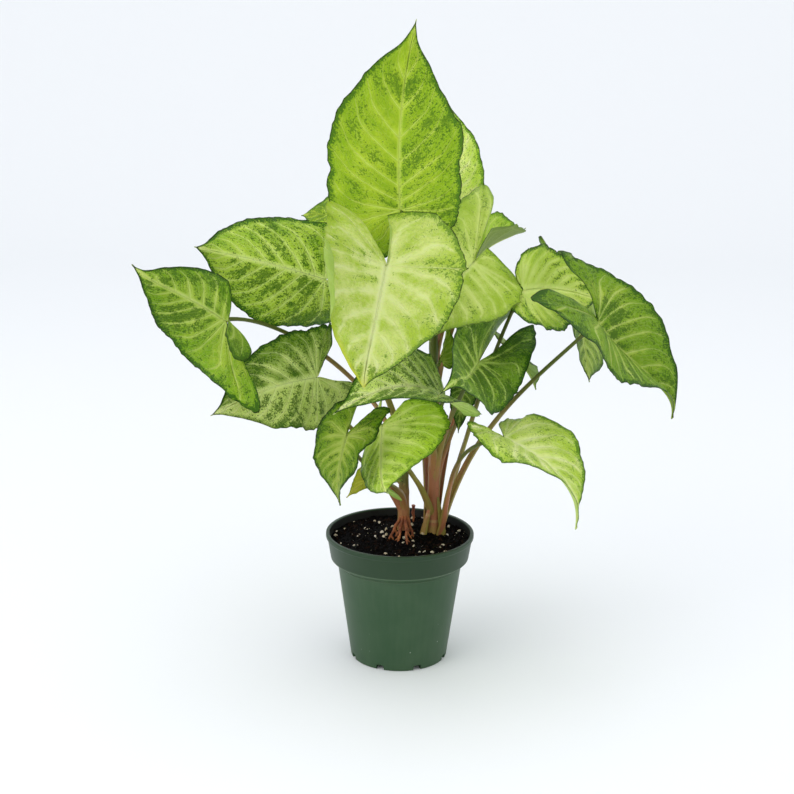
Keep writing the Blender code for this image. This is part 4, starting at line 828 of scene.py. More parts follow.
@dataclass(frozen=True)
class PotSkin:
    """Dark green moulded plastic with a soft sheen, a light dusting and scuffs. A painted highlight
    line runs along the band's lower edge, painted light lifts the shade under the band at the
    step, and painted shade darkens the inner wall above the mix.

    The stripes are heights in metres over which each mark comes in and goes out.
    """

    name: str = "green_plastic"
    colour: Colour = (0.017, 0.060, 0.019)
    # Near black painted shade for the inner wall above the mix.
    band: Colour = (0.0006, 0.0200, 0.0009)
    inside: Colour = (0.0025, 0.0045, 0.0025)
    dust_and_painted_light: Colour = (0.13, 0.19, 0.11)
    # Pale tint of dust and scuffs, also laid on as painted light along the band's lower edge and at the
    # step.
    speckle: Colour = (0.34, 0.40, 0.32)
    lip: Pair = (0.0940, 0.0951)
    band_foot: Pair = (0.0760, 0.0775)
    # Heights of a painted highlight line along the band's lower edge, and of painted light at the step
    # under the band.
    band_edge_highlight: tuple[Pair, Pair] = ((0.0757, 0.0761), (0.0766, 0.0770))
    step: tuple[Pair, Pair] = ((0.0719, 0.0724), (0.0728, 0.0735))
    # Heights and radii where the painted shade covers the inner wall.
    wall: tuple[Pair, Pair] = ((0.0776, 0.0790), (0.0938, 0.0948))
    wall_slope: float = 0.1243
    wall_radius: Pair = (0.0398, 0.0403)

    @staticmethod
    def stripe(height: Signal, ends: tuple[Pair, Pair]) -> Signal:
        """1 inside a stripe of the pot and 0 outside it."""
        return height.ramp(*ends[0]) * height.fall(*ends[1])

    def make(self) -> bpy.types.Material:
        """Builds the finish."""
        sheet = Sheet(self.name)
        place = sheet.place()
        x, y, z = sheet.split(place)
        cloud = sheet.grain(place, 26.0, 3.0, 0.6)
        grain = sheet.grain(place, 900.0, 2.0, 0.5)
        drawn = sheet.grain(sheet.join(x * 300.0, y * 300.0, z * 14.0), 1.0, 2.0)
        scuff = sheet.grain(sheet.join(x * 55.0, y * 55.0, z * 420.0), 1.0, 4.0, 0.7)
        cells = {"Vector": place, "Scale": 160.0, "Randomness": 1.0}
        speck = sheet.add("ShaderNodeTexVoronoi", {}, cells)
        dots = (speck + (grain - 0.5) * 0.12).fall(0.035, 0.09)
        rare = (sheet.grain(place, 60.0, 1.0) - 0.57).ramp(0.0, 0.06)
        tone = (cloud * 0.7 + drawn * 0.3).ramp(0.3, 0.75)
        base = sheet.blend(tone, self.colour, plain_mix(self.colour, self.dust_and_painted_light, 0.16))
        wear = (scuff - 0.64).ramp(0.0, 0.14) * (cloud - 0.42).ramp(0.0, 0.3)
        base = sheet.blend(wear * 0.35, base, self.dust_and_painted_light)
        base = sheet.blend(dots * rare * 0.75, base, self.speckle)
        base = sheet.blend(z.ramp(*self.lip) * 0.10, base, self.dust_and_painted_light)
        band = z.ramp(*self.band_foot) * (0.62 + 0.15 * cloud)
        base = sheet.blend(band, base, self.band)
        # Painted highlight line along the band's lower edge, then painted light on the body's top that
        # lifts the shade under the band.
        base = sheet.blend(self.stripe(z, self.band_edge_highlight) * 0.35, base, self.dust_and_painted_light)
        base = sheet.blend(self.stripe(z, self.step) * 0.30, base, self.dust_and_painted_light)
        # Painted shade: the inner wall from the band's foot to just below the lip turns near black.
        radius = (x * x + y * y) ** 0.5
        wall = (radius - z * self.wall_slope).fall(*self.wall_radius)
        rise, fall = self.wall
        wall = wall * z.ramp(*rise) * z.fall(*fall)
        base = sheet.blend(wall, base, self.inside)
        return sheet.finish(
            Base_Color=base,
            Roughness=0.40 + cloud * 0.12 + wear * 0.2 + (drawn - 0.5) * 0.08,
            Normal=sheet.relief(grain * 0.3 + drawn * 0.4 + cloud * 1.4, 0.00022, 0.5),
            Specular_IOR_Level=0.42,
        )


@dataclass(frozen=True)
class MixSkin:
    """Moist potting mix: near black, with brown fibre."""

    name: str = "moist_mix"
    black: Colour = (0.0007, 0.0005, 0.0008)
    brown: Colour = (0.0026, 0.0015, 0.0016)

    def make(self) -> bpy.types.Material:
        """Builds the finish."""
        sheet = Sheet(self.name)
        place = sheet.place()
        cloud = sheet.grain(place, 220.0, 4.0, 0.65)
        crumb = sheet.grain(place, 900.0, 4.0, 0.7)
        base = sheet.blend((cloud * 0.7 + crumb * 0.8 - 0.55).ramp(0.0, 0.5), self.black, self.brown)
        normal = sheet.relief(crumb + cloud * 0.6, 0.0012, 1.0)
        rough = 0.62 + crumb * 0.3
        return sheet.finish(Base_Color=base, Roughness=rough, Normal=normal, Specular_IOR_Level=0.06)


@dataclass(frozen=True)
class GrainSkin:
    """Loose pieces in the mix: perlite, bark or crumbs, toned from piece to piece."""

    name: str
    pale: Colour
    dark: Colour
    cells: float
    rough: float = 0.8

    def make(self) -> bpy.types.Material:
        """Builds the finish."""
        sheet = Sheet(self.name)
        place = sheet.place()
        tone = sheet.grain(place, self.cells * 0.25, 1.0)
        pores = sheet.grain(place, self.cells * 6.0, 3.0, 0.7)
        base = sheet.blend((tone * 1.2 + pores * 0.5 - 0.4).ramp(0.0, 0.75), self.dark, self.pale)
        normal = sheet.relief(pores, 0.0005, 0.9)
        rough = self.rough + pores * 0.1
        return sheet.finish(Base_Color=base, Roughness=rough, Normal=normal, Specular_IOR_Level=0.06)


@dataclass(frozen=True)
class FloorSkin:
    """Plain pale floor and backdrop."""

    name: str = "pale_floor"
    colour: Colour = (0.90, 0.915, 0.93)

    def make(self) -> bpy.types.Material:
        """Builds the finish."""
        sheet = Sheet(self.name)
        return sheet.finish(Base_Color=self.colour, Roughness=0.62, Specular_IOR_Level=0.2)


def catmull_rom(points: Sequence[Any], steps: int) -> np.ndarray:
    """Points on a smooth curve through the given ones.

    Args:
        points: The points that the curve passes through.
        steps: Steps for each span.

    Returns:
        One row for each point of the curve.
    """
    known = np.asarray(points, float)
    padded = np.vstack([2 * known[0] - known[1], known, 2 * known[-1] - known[-2]])
    share = (np.arange(steps) / steps)[:, None]
    rows = []
    for first, start, end, last in zip(padded, padded[1:], padded[2:], padded[3:]):
        rows.append(
            start
            + 0.5 * share * (end - first)
            + share**2 * (first - 2.5 * start + 2 * end - 0.5 * last)
            + share**3 * (1.5 * (start - end) + 0.5 * (last - first))
        )
    return np.vstack([*rows, known[-1:]])


def smooth_step(value: np.ndarray, start: float, end: float) -> np.ndarray:
    """Smooth rise from 0 at start to 1 at end."""
    share = np.clip((value - start) / (end - start), 0.0, 1.0)
    return share * share * (3 - 2 * share)


def soft_noise(x: Any, y: Any, z: Any, cells: float = 1.0) -> np.ndarray:
    """Soft random numbers from about -1 to 1, one for each place, with this many cells to the unit."""
    places = np.stack(np.broadcast_arrays(x, y, z), -1).astype(float)
    flat = places.reshape(-1, 3) * cells
    return np.array([noise.noise(p) for p in flat]).reshape(places.shape[:-1])


def taper(radii: Sequence[float], share: np.ndarray, power: float) -> np.ndarray:
    """Radius of a stalk that thins from the first radius to the second."""
    return radii[1] + (radii[0] - radii[1]) * (1 - share) ** power


def ring_angles(sides: int) -> np.ndarray:
    """Angles of the points of one ring, as a row."""
    return np.linspace(0, 2 * math.pi, sides, endpoint=False)[None, :]


def ring_rows(radius: Any, angle: np.ndarray) -> np.ndarray:
    """Offsets of round outlines as (sideways, inward)."""
    return np.stack([radius * np.sin(angle), radius * np.cos(angle)], -1)


class Blade:
    """A blade as fine mesh on the surface of its node, with its vein maps.

    The vein map holds the count of the main vein, from the sinus round to the tip, and the share
    of the way from midrib to margin, negative on the left half. The size map holds millimetres
    for one step of each. Widths, thicknesses and arcs are in metres.
    """

    FAN_SPANS = 6
    SPANS = 13
    STEPS = 10
    SLIM = (1.0, 0.86, 0.64, 0.40, 0.19, 0.055, 0.0)
    BROAD = (1.0, 0.97, 0.80, 0.52, 0.24, 0.065, 0.0)
    WIDTH_PLACES = (0.0, 0.23, 0.46, 0.66, 0.83, 0.95, 1.0)
    BEND_REACH = 1.25
    BEND_STEPS = 25
    COLUMNS = (0.0, 0.012, 0.03, 0.06, 0.11, 0.17, 0.24, 0.31, 0.39, 0.47)
    COLUMNS += (0.55, 0.63, 0.71, 0.79, 0.87, 0.94, 1.0)
    VEIN_SPANS = (-0.8, 1.5, 3.1, 4.7, 6.2, 7.3, 8.15, 8.9, 9.6, 10.3, 11.0, 11.7, 12.5, 13.6)
    VEIN_DRIFT = 0.16
    FURL_WIDTH = 0.22
    FURL_SPAN = (0.02, 0.20, 0.50, 0.70)
    FURL_TURN = math.radians(165.0)
    FURL_ARC = 0.0060
    VEIN_RISE = 2.2
    VEIN_SWEEP = (0.72, 0.28, 2.4)
    VEIN_FADE = (0.72, 0.92)
    LARGEST_PITCH = 0.018
    THICKNESS = 0.00042
    MARGIN_THICKNESS = 0.00026
    RIB = (0.0013, 0.0002)
    RIB_SHARE = 0.045
    GROOVE = 0.00035
    PUCKER = 0.078
    FRILL = 0.0023
    SCALLOP = 0.066
    SCALLOP_WAVES = ((0.9, 1.0), (2.6, 0.6), (4.6, 0.45))
    TAPER = 0.30
    TAPER_SPAN = (0.80, 0.97)
    DRIP = 0.012
    DRIP_SPAN = (0.92, 1.0)
    SHARP_DEG = 62
    FURL_COLUMNS = (0.80, 0.83, 0.86, 0.89, 0.92, 0.95, 0.975, 1.0)

    def __init__(self, name: str, leaf: Leaf, number: int) -> None:
        """Holds the leaf that the blade belongs to.

        Args:
            name: Name of the node that the blade stands for.
            leaf: Its form and look.
            number: Its place in the table, from 1.
        """
        self.name, self.leaf, self.number = name, leaf, number
        self.seed = sum(map(ord, name)) * 0.37
        self.columns = self.COLUMNS
        if any(leaf.furl):
            self.columns = tuple(c for c in self.COLUMNS if c < self.FURL_COLUMNS[0]) + self.FURL_COLUMNS

    def outline(self, side: int) -> np.ndarray:
        """Margin of one half as (along, out) shares of the length, from the sinus to the tip."""
        leaf = self.leaf
        wide, lobe, spread = leaf.width[side], leaf.lobe[side], leaf.spread[side]
        back = [
            (0.0, 0.0),
            (-0.42 * lobe, 0.28 * spread),
            (-0.86 * lobe, 0.60 * spread),
            (-lobe, spread),
            (-0.80 * lobe, spread + 0.55 * (wide - spread)),
            (-0.38 * lobe, spread + 0.86 * (wide - spread)),
            (0.0, spread + 0.97 * (wide - spread)),
        ]
        shares = leaf.full * np.array(self.BROAD) + (1 - leaf.full) * np.array(self.SLIM)
        along = leaf.widest + (1 - leaf.widest) * np.array(self.WIDTH_PLACES)
        return catmull_rom(back + list(zip(along, wide * shares)), self.STEPS)

    def furled(self, start: np.ndarray, beyond: np.ndarray) -> tuple[np.ndarray, np.ndarray]:
        """Steps sideways and upwards of a margin that rolls over.

        Args:
            start: Angle of the section where the roll starts.
            beyond: How far beyond the edge each point lies, in metres.

        Returns:
            The two steps.
        """
        pace = self.FURL_TURN / self.FURL_ARC
        turned = np.minimum(beyond, self.FURL_ARC)
        straight = beyond - turned
        end = start + self.FURL_TURN
        over = (np.sin(start + pace * turned) - np.sin(start)) / pace + np.cos(end) * straight
        rise = (np.cos(start) - np.cos(start + pace * turned)) / pace + np.sin(end) * straight
        return over, rise

    def midrib(self, along: np.ndarray) -> tuple[np.ndarray, np.ndarray, np.ndarray]:
        """Point, tangent and upper-side direction of the midrib in the leaf's own axes."""
        leaf = self.leaf
        q = np.maximum(along, 0.0)
        bow = 4 * leaf.arch * q * (1 - q) + leaf.hook * (q - q**8)
        slope = 4 * leaf.arch * (1 - 2 * q) + leaf.hook * (1 - 8 * q**7)
        bend = 4 * leaf.sway * q * (1 - q)
        turn = 4 * leaf.sway * (1 - 2 * q)
        back = np.minimum(along, 0.0)
        point = np.stack([along, bend + turn * back, bow + slope * back], -1) * leaf.length
        tangent = np.stack([np.ones_like(q), turn, slope], -1)
        tangent /= np.linalg.norm(tangent, axis=-1, keepdims=True)
        tilt = np.radians(leaf.twist) * q
        upper = np.stack([np.zeros_like(q), -np.sin(tilt), np.cos(tilt)], -1)
        upper = upper - tangent * np.sum(upper * tangent, axis=-1, keepdims=True)
        upper /= np.linalg.norm(upper, axis=-1, keepdims=True)
        return point, tangent, upper

    def section(self, side: int, out: np.ndarray) -> tuple[np.ndarray, np.ndarray]:
        """Where a point this far out lies in its cross-section, as (sideways, towards the upper side)."""
        leaf = self.leaf
        wide = leaf.width[side] * leaf.length
        reach = np.linspace(0.0, self.BEND_REACH, self.BEND_STEPS)
        angle = np.radians(leaf.fold[side] + leaf.curl[side] * reach)
        step = reach[1]
        sums = []
        for pace in (np.cos(angle), np.sin(angle)):
            total = np.concatenate([[0.0], np.cumsum(0.5 * (pace[1:] + pace[:-1]) * step)])
            sums.append(np.interp(out / wide, reach, total) * wide)
        return sums[0], sums[1]

    def half(self, side: int) -> tuple[np.ndarray, np.ndarray, np.ndarray]:
        """One half of the mid-surface.

        Args:
            side: 0 for the left half, 1 for the right.

        Returns:
            Points in world axes, and millimetres for one vein count and for one way from midrib to
            margin, all by row and column.
        """
        leaf, length = self.leaf, self.leaf.length
        edge = self.outline(side)
        rows = np.arange(len(edge)) / self.STEPS
        waves = self.SCALLOP_WAVES
        uneven = [high * soft_noise(rows * pace, side * 5.0, self.seed) for pace, high in waves]
        edge[:, 1] *= 1 + self.SCALLOP * sum(uneven)
        edge[:, 1] *= 1 - self.TAPER * smooth_step(edge[:, 0], *self.TAPER_SPAN)
        edge[:, 0] += self.DRIP * smooth_step(edge[:, 0], *self.DRIP_SPAN)
        root = np.maximum(edge[:, 0], 0.0) ** self.VEIN_RISE
        root[: self.FAN_SPANS * self.STEPS + 1] = 0.0
        t = np.array(self.columns)[None, :]
        even, late, power = self.VEIN_SWEEP
        along = root[:, None] + (edge[:, :1] - root[:, None]) * (even * t + late * t**power)
        furl = np.interp(edge[:, :1], self.FURL_SPAN, (0.0, 1.0, 1.0, 0.0))
        reach = edge[:, 1:] * (1 + self.FURL_WIDTH * leaf.furl[side] * furl) * t
        out = np.minimum(reach, edge[:, 1:])
        point, tangent, upper = self.midrib(along)
        sideways = np.cross(tangent, upper) * (2 * side - 1)
        over, rise = self.section(side, out * length)
        start = np.radians(leaf.fold[side] + leaf.curl[side] * out / leaf.width[side])
        roll_over, roll_rise = self.furled(start, (reach - out) * length)
        over, rise = over + roll_over, rise + roll_rise
        turn = np.radians(leaf.slant[side]) * np.maximum(0.3 - along, 0.0)
        cos, sin = np.cos(turn), np.sin(turn)
        over, rise = over * cos - rise * sin, over * sin + rise * cos
        rise = rise + leaf.lift[side] * np.minimum(along, 0.0) ** 2 * length
        ripple = np.sin(2 * math.pi * (leaf.waves * along + leaf.phase + 0.5 * side))
        outer = np.clip(out / leaf.width[side], 0, 1)
        rise = rise + leaf.wave * length * ripple * t**2 * outer
        grid = point + sideways * over[..., None] + upper * rise[..., None]
        count = self.counts(side)
        pitch = np.linalg.norm(np.gradient(grid, axis=0), axis=-1) / np.gradient(count)[:, None]
        span = np.linalg.norm(np.diff(grid, axis=1), axis=-1).sum(axis=1)
        span = np.repeat(span[:, None], t.shape[1], axis=1)
        quilt = np.abs(np.sin(math.pi * count))[:, None] * smooth_step(t, 0.02, 0.2)
        quilt = quilt * (1 - smooth_step(t, *self.VEIN_FADE))
        lift = self.PUCKER * np.minimum(pitch, self.LARGEST_PITCH) * quilt
        lift = lift - self.GROOVE * (1 - smooth_step(t, 0.0, self.RIB_SHARE))
        place = (rows[:, None] * 0.75, side * 9.0, self.seed)
        frill = soft_noise(*place) + 0.5 * soft_noise(*place, 2.7)
        frill = frill * self.FRILL * smooth_step(t, 0.35, 1.0)
        lift = lift + frill * smooth_step(outer, 0.0, 0.4)
        grid = grid + upper * lift[..., None]
        return grid @ leaf.axes.T + np.array(leaf.joint), pitch * 1000, span * 1000

    def counts(self, side: int) -> np.ndarray:
        """Count of the main vein at each row of one half, with the veins set a little unevenly."""
        veins = np.array(self.VEIN_SPANS)
        drift = soft_noise(veins * 1.7, side * 3.0, self.seed)
        rows = np.arange(self.SPANS * self.STEPS + 1) / self.STEPS
        return np.interp(rows, veins + self.VEIN_DRIFT * drift, np.arange(len(veins)))

    def build(self) -> bpy.types.Object:
        """Makes the blade's object, closed, with its upper and lower side in two materials."""
        rows, last = self.SPANS * self.STEPS, len(self.columns) - 1
        fan = self.FAN_SPANS * self.STEPS
        points = [np.array(self.leaf.joint) - self.GROOVE * self.leaf.axes[:, 2]]
        shares = [0.0]
        index: dict[tuple[int, int, int], int] = {}
        tip = -1
        faces: list[list[int]] = []
        veins: list[list[Pair]] = []
        sizes: list[list[Pair]] = []
        for side, sign in enumerate((-1.0, 1.0)):
            grid, pitch, span = self.half(side)
            counts = self.counts(side)
            for row in range(rows + 1):
                for col in range(last + 1):
                    if row == 0 or (row <= fan and col == 0):
                        index[side, row, col] = 0
                    elif row == rows:
                        if tip < 0:
                            tip = len(points)
                            points.append(grid[row, 0])
                            shares.append(1.0)
                        index[side, row, col] = tip
                    elif col == 0 and side == 1:
                        index[side, row, col] = index[0, row, 0]
                    else:
                        index[side, row, col] = len(points)
                        points.append(grid[row, col])
                        shares.append(self.columns[col])
            for row in range(rows):
                for col in range(last):
                    corners = [(row, col), (row + 1, col), (row + 1, col + 1), (row, col + 1)]
                    if side == 1:
                        corners.reverse()
                    face, vein, size = [], [], []
                    for r, c in corners:
                        vertex = index[side, r, c]
                        if vertex in face:
                            continue
                        centred = counts[row] * 0.5 + counts[row + 1] * 0.5 if vertex == 0 else counts[r]
                        face.append(vertex)
                        vein.append((centred, sign * self.columns[c]))
                        size.append((pitch[r, c], span[r, c]))
                    if len(face) >= 3:
                        faces.append(face)
                        veins.append(vein)
                        sizes.append(size)
        return self.thicken(np.array(points), np.array(shares), faces, veins, sizes)

    def thicken(
        self,
        points: np.ndarray,
        shares: np.ndarray,
        faces: list[list[int]],
        veins: list[list[Pair]],
        sizes: list[list[Pair]],
    ) -> bpy.types.Object:
        """Gives the mid-surface its thickness, its midrib below and its rim.

        Args:
            points: The mid-surface's points.
            shares: How far each point lies from the midrib, from 0 to 1.
            faces: The mid-surface's faces.
            veins: The vein map of each face's corners.
            sizes: The size map of each face's corners.

        Returns:
            The finished object.
        """
        normals = np.zeros_like(points)
        for face in faces:
            corners = points[face]
            normal = np.cross(corners[1] - corners[0], corners[2] - corners[0])
            if len(face) == 4:
                normal = normal + np.cross(corners[2] - corners[0], corners[3] - corners[0])
            normal = normal / max(np.linalg.norm(normal), 1e-12)
            for vertex in face:
                normals[vertex] += normal
        normals /= np.maximum(np.linalg.norm(normals, axis=1, keepdims=True), 1e-12)
        away = np.linalg.norm(points - np.array(self.leaf.joint), axis=1) / self.leaf.length
        half = 0.5 * (self.THICKNESS + (self.MARGIN_THICKNESS - self.THICKNESS) * shares)
        rib = self.RIB[0] + (self.RIB[1] - self.RIB[0]) * np.clip(away, 0, 1)
        rib = rib * (1 - smooth_step(shares, 0.0, self.RIB_SHARE))
        upper = points + normals * half[:, None]
        lower = points - normals * (half + rib)[:, None]
        count = len(points)
        edges = {}
        for face, vein, size in zip(faces, veins, sizes):
            for k, start in enumerate(face):
                follow = (k + 1) % len(face)
                edges[start, face[follow]] = (vein[k], vein[follow], size[k], size[follow])
        shell = [list(face) for face in faces]
        shell += [[vertex + count for vertex in reversed(face)] for face in faces]
        vein_rows = veins + [row[::-1] for row in veins]
        size_rows = sizes + [row[::-1] for row in sizes]
        skins = [0] * len(faces) + [1] * len(faces)
        for (start, end), (vein_a, vein_b, size_a, size_b) in edges.items():
            if (end, start) not in edges:
                shell.append([start, start + count, end + count, end])
                vein_rows.append([vein_a, vein_a, vein_b, vein_b])
                size_rows.append([size_a, size_a, size_b, size_b])
                skins.append(0)
        maps = {"veins": vein_rows, "sizes": size_rows}
        mesh = add_mesh(self.name + "_blade", np.vstack([upper, lower]).tolist(), shell, maps)
        mesh.polygons.foreach_set("material_index", skins)
        mesh.set_sharp_from_angle(angle=math.radians(self.SHARP_DEG))
        blade = add_object(self.name + "_blade", mesh)
        for skin in (UpperSkin, LowerSkin):
            mesh.materials.append(skin(self.name, self.leaf.look, float(self.number)).make())
        return blade


def hermite(start: Any, end: Any, leave: Any, arrive: Any, count: int) -> np.ndarray:
    """Points on one smooth arc.

    Args:
        start: Where it starts.
        end: Where it ends.
        leave: Direction and pace at the start.
        arrive: Direction and pace at the end.
        count: Number of points.

    Returns:
        One row for each point.
    """
    share = np.linspace(0.0, 1.0, count)[:, None]
    first, last, out, into = (np.asarray(v, float) for v in (start, end, leave, arrive))
    return (
        (2 * share**3 - 3 * share**2 + 1) * first
        + (share**3 - 2 * share**2 + share) * out
        + (3 * share**2 - 2 * share**3) * last
        + (share**3 - share**2) * into
    )


class Sweeps:
    """Closed stalks along routes, gathered in one mesh with a stalk map and a tone map.

    The stalk map holds the turn round the stalk, from 0 to 1, and the millimetres along it. The
    tone map holds the share of the way from foot to top, and the stalk's tone.
    """

    SHARP_DEG = 70

    def __init__(self) -> None:
        """Starts with no stalk."""
        self.points: list[Vector] = []
        self.faces: list[list[int]] = []
        self.stalk: list[list[Pair]] = []
        self.tone: list[list[Pair]] = []

    def add(self, route: Any, rings: np.ndarray, inward: Vector, tone: float, ripe: float = 1.0) -> None:
        """Adds one stalk.

        Args:
            route: Points of its centre line.
            rings: Outline at each point as (sideways, inward) offsets in metres.
            inward: Direction of the outline's second axis at the first point.
            tone: 0 for olive, 1 for pinkish brown.
            ripe: Share of a full petiole's change from foot to top that it goes through.
        """
        line = [Vector(p) for p in route]
        sides, base, run = rings.shape[1], len(self.points), 0.0
        runs = []
        for i, centre in enumerate(line):
            ahead = (line[min(i + 1, len(line) - 1)] - line[max(i - 1, 0)]).normalized()
            inward = (inward - ahead * inward.dot(ahead)).normalized()
            sideways = inward.cross(ahead)
            run += (centre - line[i - 1]).length * 1000 if i else 0.0
            runs.append(run)
            self.points += [centre + sideways * a + inward * b for a, b in rings[i]]
        shares = [ripe * i / (len(line) - 1) for i in range(len(line))]
        for i in range(len(line) - 1):
            corners = ((0, i), (1, i), (1, i + 1), (0, i + 1))
            for k in range(sides):
                low, follow = base + i * sides, (k + 1) % sides
                self.faces.append([low + k, low + follow, low + follow + sides, low + k + sides])
                turn = (k / sides, (k + 1) / sides)
                self.stalk.append([(turn[side], runs[row]) for side, row in corners])
                self.tone.append([(shares[row], tone) for _, row in corners])
        for row, order in ((0, -1), (len(line) - 1, 1)):
            self.faces.append([base + row * sides + k for k in range(sides)][::order])
            self.stalk.append([(0.5, runs[row])] * sides)
            self.tone.append([(shares[row], tone)] * sides)

    def build(self, name: str, skin: bpy.types.Material) -> bpy.types.Object:
        """Makes the object, with its faces pointing out."""
        mesh = add_mesh(name, self.points, self.faces, {"stalk": self.stalk, "tone": self.tone})
        outward(mesh)
        mesh.shade_smooth()
        mesh.set_sharp_from_angle(angle=math.radians(self.SHARP_DEG))
        mesh.materials.append(skin)
        return add_object(name, mesh)


def outward(mesh: bpy.types.Mesh) -> None:
    """Turns every face of the mesh outwards."""
    shape = bmesh.new()
    shape.from_mesh(mesh)
    bmesh.ops.recalc_face_normals(shape, faces=shape.faces)
    shape.to_mesh(mesh)
    shape.free()


@dataclass
class Clump:
    """One shoot with its stem, petioles, sheaths and aerial roots, in metres."""

    name: str
    shoot: Shoot
    leaves: dict[str, Leaf]
    stem_radii: Pair = (0.0050, 0.0030)
    root_radii: Pair = (0.0015, 0.0007)
    soil_level: float = 0.089
    depth: float = 0.010
    sheath_share: float = 0.46
    sides: int = 18
    petiole_points: int = 30
    blade_gap: float = 0.0006
    buried_height: float = 0.008
    foot_sink: float = 0.004
    nearest_axis: float = 0.0015
    cuff_points: int = 16
    cuff_ripe: float = 0.2
    bud_swell: Pair = (0.42, 0.80)
    bud_radius: float = 0.0009
    root_points: int = 22
    root_sides: int = 10
    side_roots: Pair = (0.45, 0.72)
    side_root_size: float = 0.6
    longest_bare_root: float = 0.004
    root_rise: float = 0.0125
    root_sink: Pair = (0.0012, 0.0010)

    def petiole_route(self, leaf: Leaf) -> np.ndarray:
        """Centre line of a leaf's petiole, up to the blade's underside."""
        upper = Vector(leaf.axes[:, 2])
        joint = Vector(leaf.joint)
        foot = self.shoot.at(leaf.foot[2]) + Vector((leaf.foot[0], leaf.foot[1], 0.0))
        span = (joint - foot).length
        arrive = Vector(leaf.arrive)
        if arrive.length < 1e-6:
            arrive = 0.6 * (joint - foot).normalized() + 0.5 * upper
        arrive.normalize()
        lean = math.sqrt(max(0.0, 1 - arrive.dot(upper) ** 2))
        droop = leaf.ease * math.sin(math.radians(max(0.0, -min(leaf.fold))))
        end = joint - upper * (self.blade_gap + leaf.radii[1] * (lean + droop) * 0.8)
        leave = Vector(leaf.leave).normalized() * span * 3 * leaf.bow[0]
        return hermite(foot, end, leave, arrive * span * 3 * leaf.bow[1], self.petiole_points)

    def buried(self, leaf: Leaf) -> bool:
        """Whether the petiole's foot stands in the mix."""
        return leaf.foot[2] < self.soil_level + self.buried_height

    def petiole_rings(self, leaf: Leaf) -> np.ndarray:
        """Outlines of a petiole: a clasping sheath at the foot, then round, with a swollen top."""
        share = np.linspace(0.0, 1.0, self.petiole_points)
        radius = taper(leaf.radii, share, 1.5) * (1 + 0.16 * smooth_step(share, 0.90, 0.985))
        wing = 1 - smooth_step(share, self.sheath_share * 0.55, self.sheath_share)
        angle = ring_angles(self.sides)
        wing, radius = wing[:, None], radius[:, None]
        flare = 0.0
        if self.buried(leaf):
            flare = 0.55 * (1 - smooth_step(share, 0.0, 0.14))[:, None]
        across = radius * (1 + 0.42 * wing + flare) * np.sin(angle)
        inward = radius * np.cos(angle) * (1 - 0.30 * wing) + radius * wing * 0.55 * np.sin(angle) ** 2
        groove = np.clip(np.cos(angle), 0, 1) ** 3
        inward = inward - radius * groove * (0.12 + 0.45 * wing)
        return np.stack([across, inward], -1)

    def stem_rings(self, count: int) -> np.ndarray:
        """Outlines of the main stem, a little swollen at each joint of its growth."""
        share = np.linspace(0.0, 1.0, count)
        swell = 1 + 0.07 * np.clip(np.cos(2 * math.pi * share * 6.0), 0, 1) ** 6
        swell = swell + 0.22 * (1 - smooth_step(share, 0.05, 0.12))
        radius = (taper(self.stem_radii, share, 1.2) * swell)[:, None]
        angle = ring_angles(self.sides + 6)
        return ring_rows(radius * (1 + 0.05 * np.sin(3 * angle + 5 * share[:, None])), angle)

    def build(self) -> list[bpy.types.Object]:
        """Makes the clump's stalks and roots."""
        stalks = Sweeps()
        low = self.shoot.stem[0]
        route = catmull_rom(((low[0], low[1], self.soil_level - self.depth),) + self.shoot.stem[1:], 12)
        stalks.add(route, self.stem_rings(len(route)), Vector((0, 1, 0)), self.shoot.tone)
        for number, leaf in enumerate(self.leaves.values()):
            route = self.petiole_route(leaf)
            if self.buried(leaf):
                route[0, 2] = self.soil_level - self.foot_sink
            start = Vector(route[0])
            inward = self.shoot.at(start.z) - start
            if inward.length < self.nearest_axis:
                inward = self.shoot.at(start.z) - Vector(route[len(route) // 3])
            inward.z = 0.0
            tone = 0.15 + 0.75 * ((number * 0.618) % 1.0)
            stalks.add(route, self.petiole_rings(leaf), inward.normalized(), tone)
        foot = self.shoot.at(self.soil_level)
        for start, end, tone in self.shoot.cuffs:
            self.cuff(stalks, foot + Vector(start), foot + Vector(end), tone)
        made = [stalks.build(self.name + "_stalks", StalkSkin(self.name + "_stalk").make())]
        if self.shoot.roots:
            made.append(self.roots())
        if self.shoot.bud:
            made.append(self.bud())
        return made

    def cuff(self, stalks: Sweeps, low: Vector, high: Vector, tone: float) -> None:
        """Adds the flared base of an old sheath, which hugs the stem as it rises out of the mix."""
        route = hermite(low, high, (high - low) * 0.3 + UP * 0.014, (high - low) * 1.2, self.cuff_points)
        share = np.linspace(0.0, 1.0, self.cuff_points)[:, None]
        angle = ring_angles(self.sides)
        across = (0.0040 - 0.0026 * share - 0.0012 * share**6) * np.sin(angle)
        inward = (0.0024 - 0.0013 * share - 0.0008 * share**6) * np.cos(angle) + 0.0010 * np.sin(angle) ** 2
        axis = self.shoot.at(low.z) - low
        axis.z = 0.0
        stalks.add(route, np.stack([across, inward], -1), axis.normalized(), tone, self.cuff_ripe)

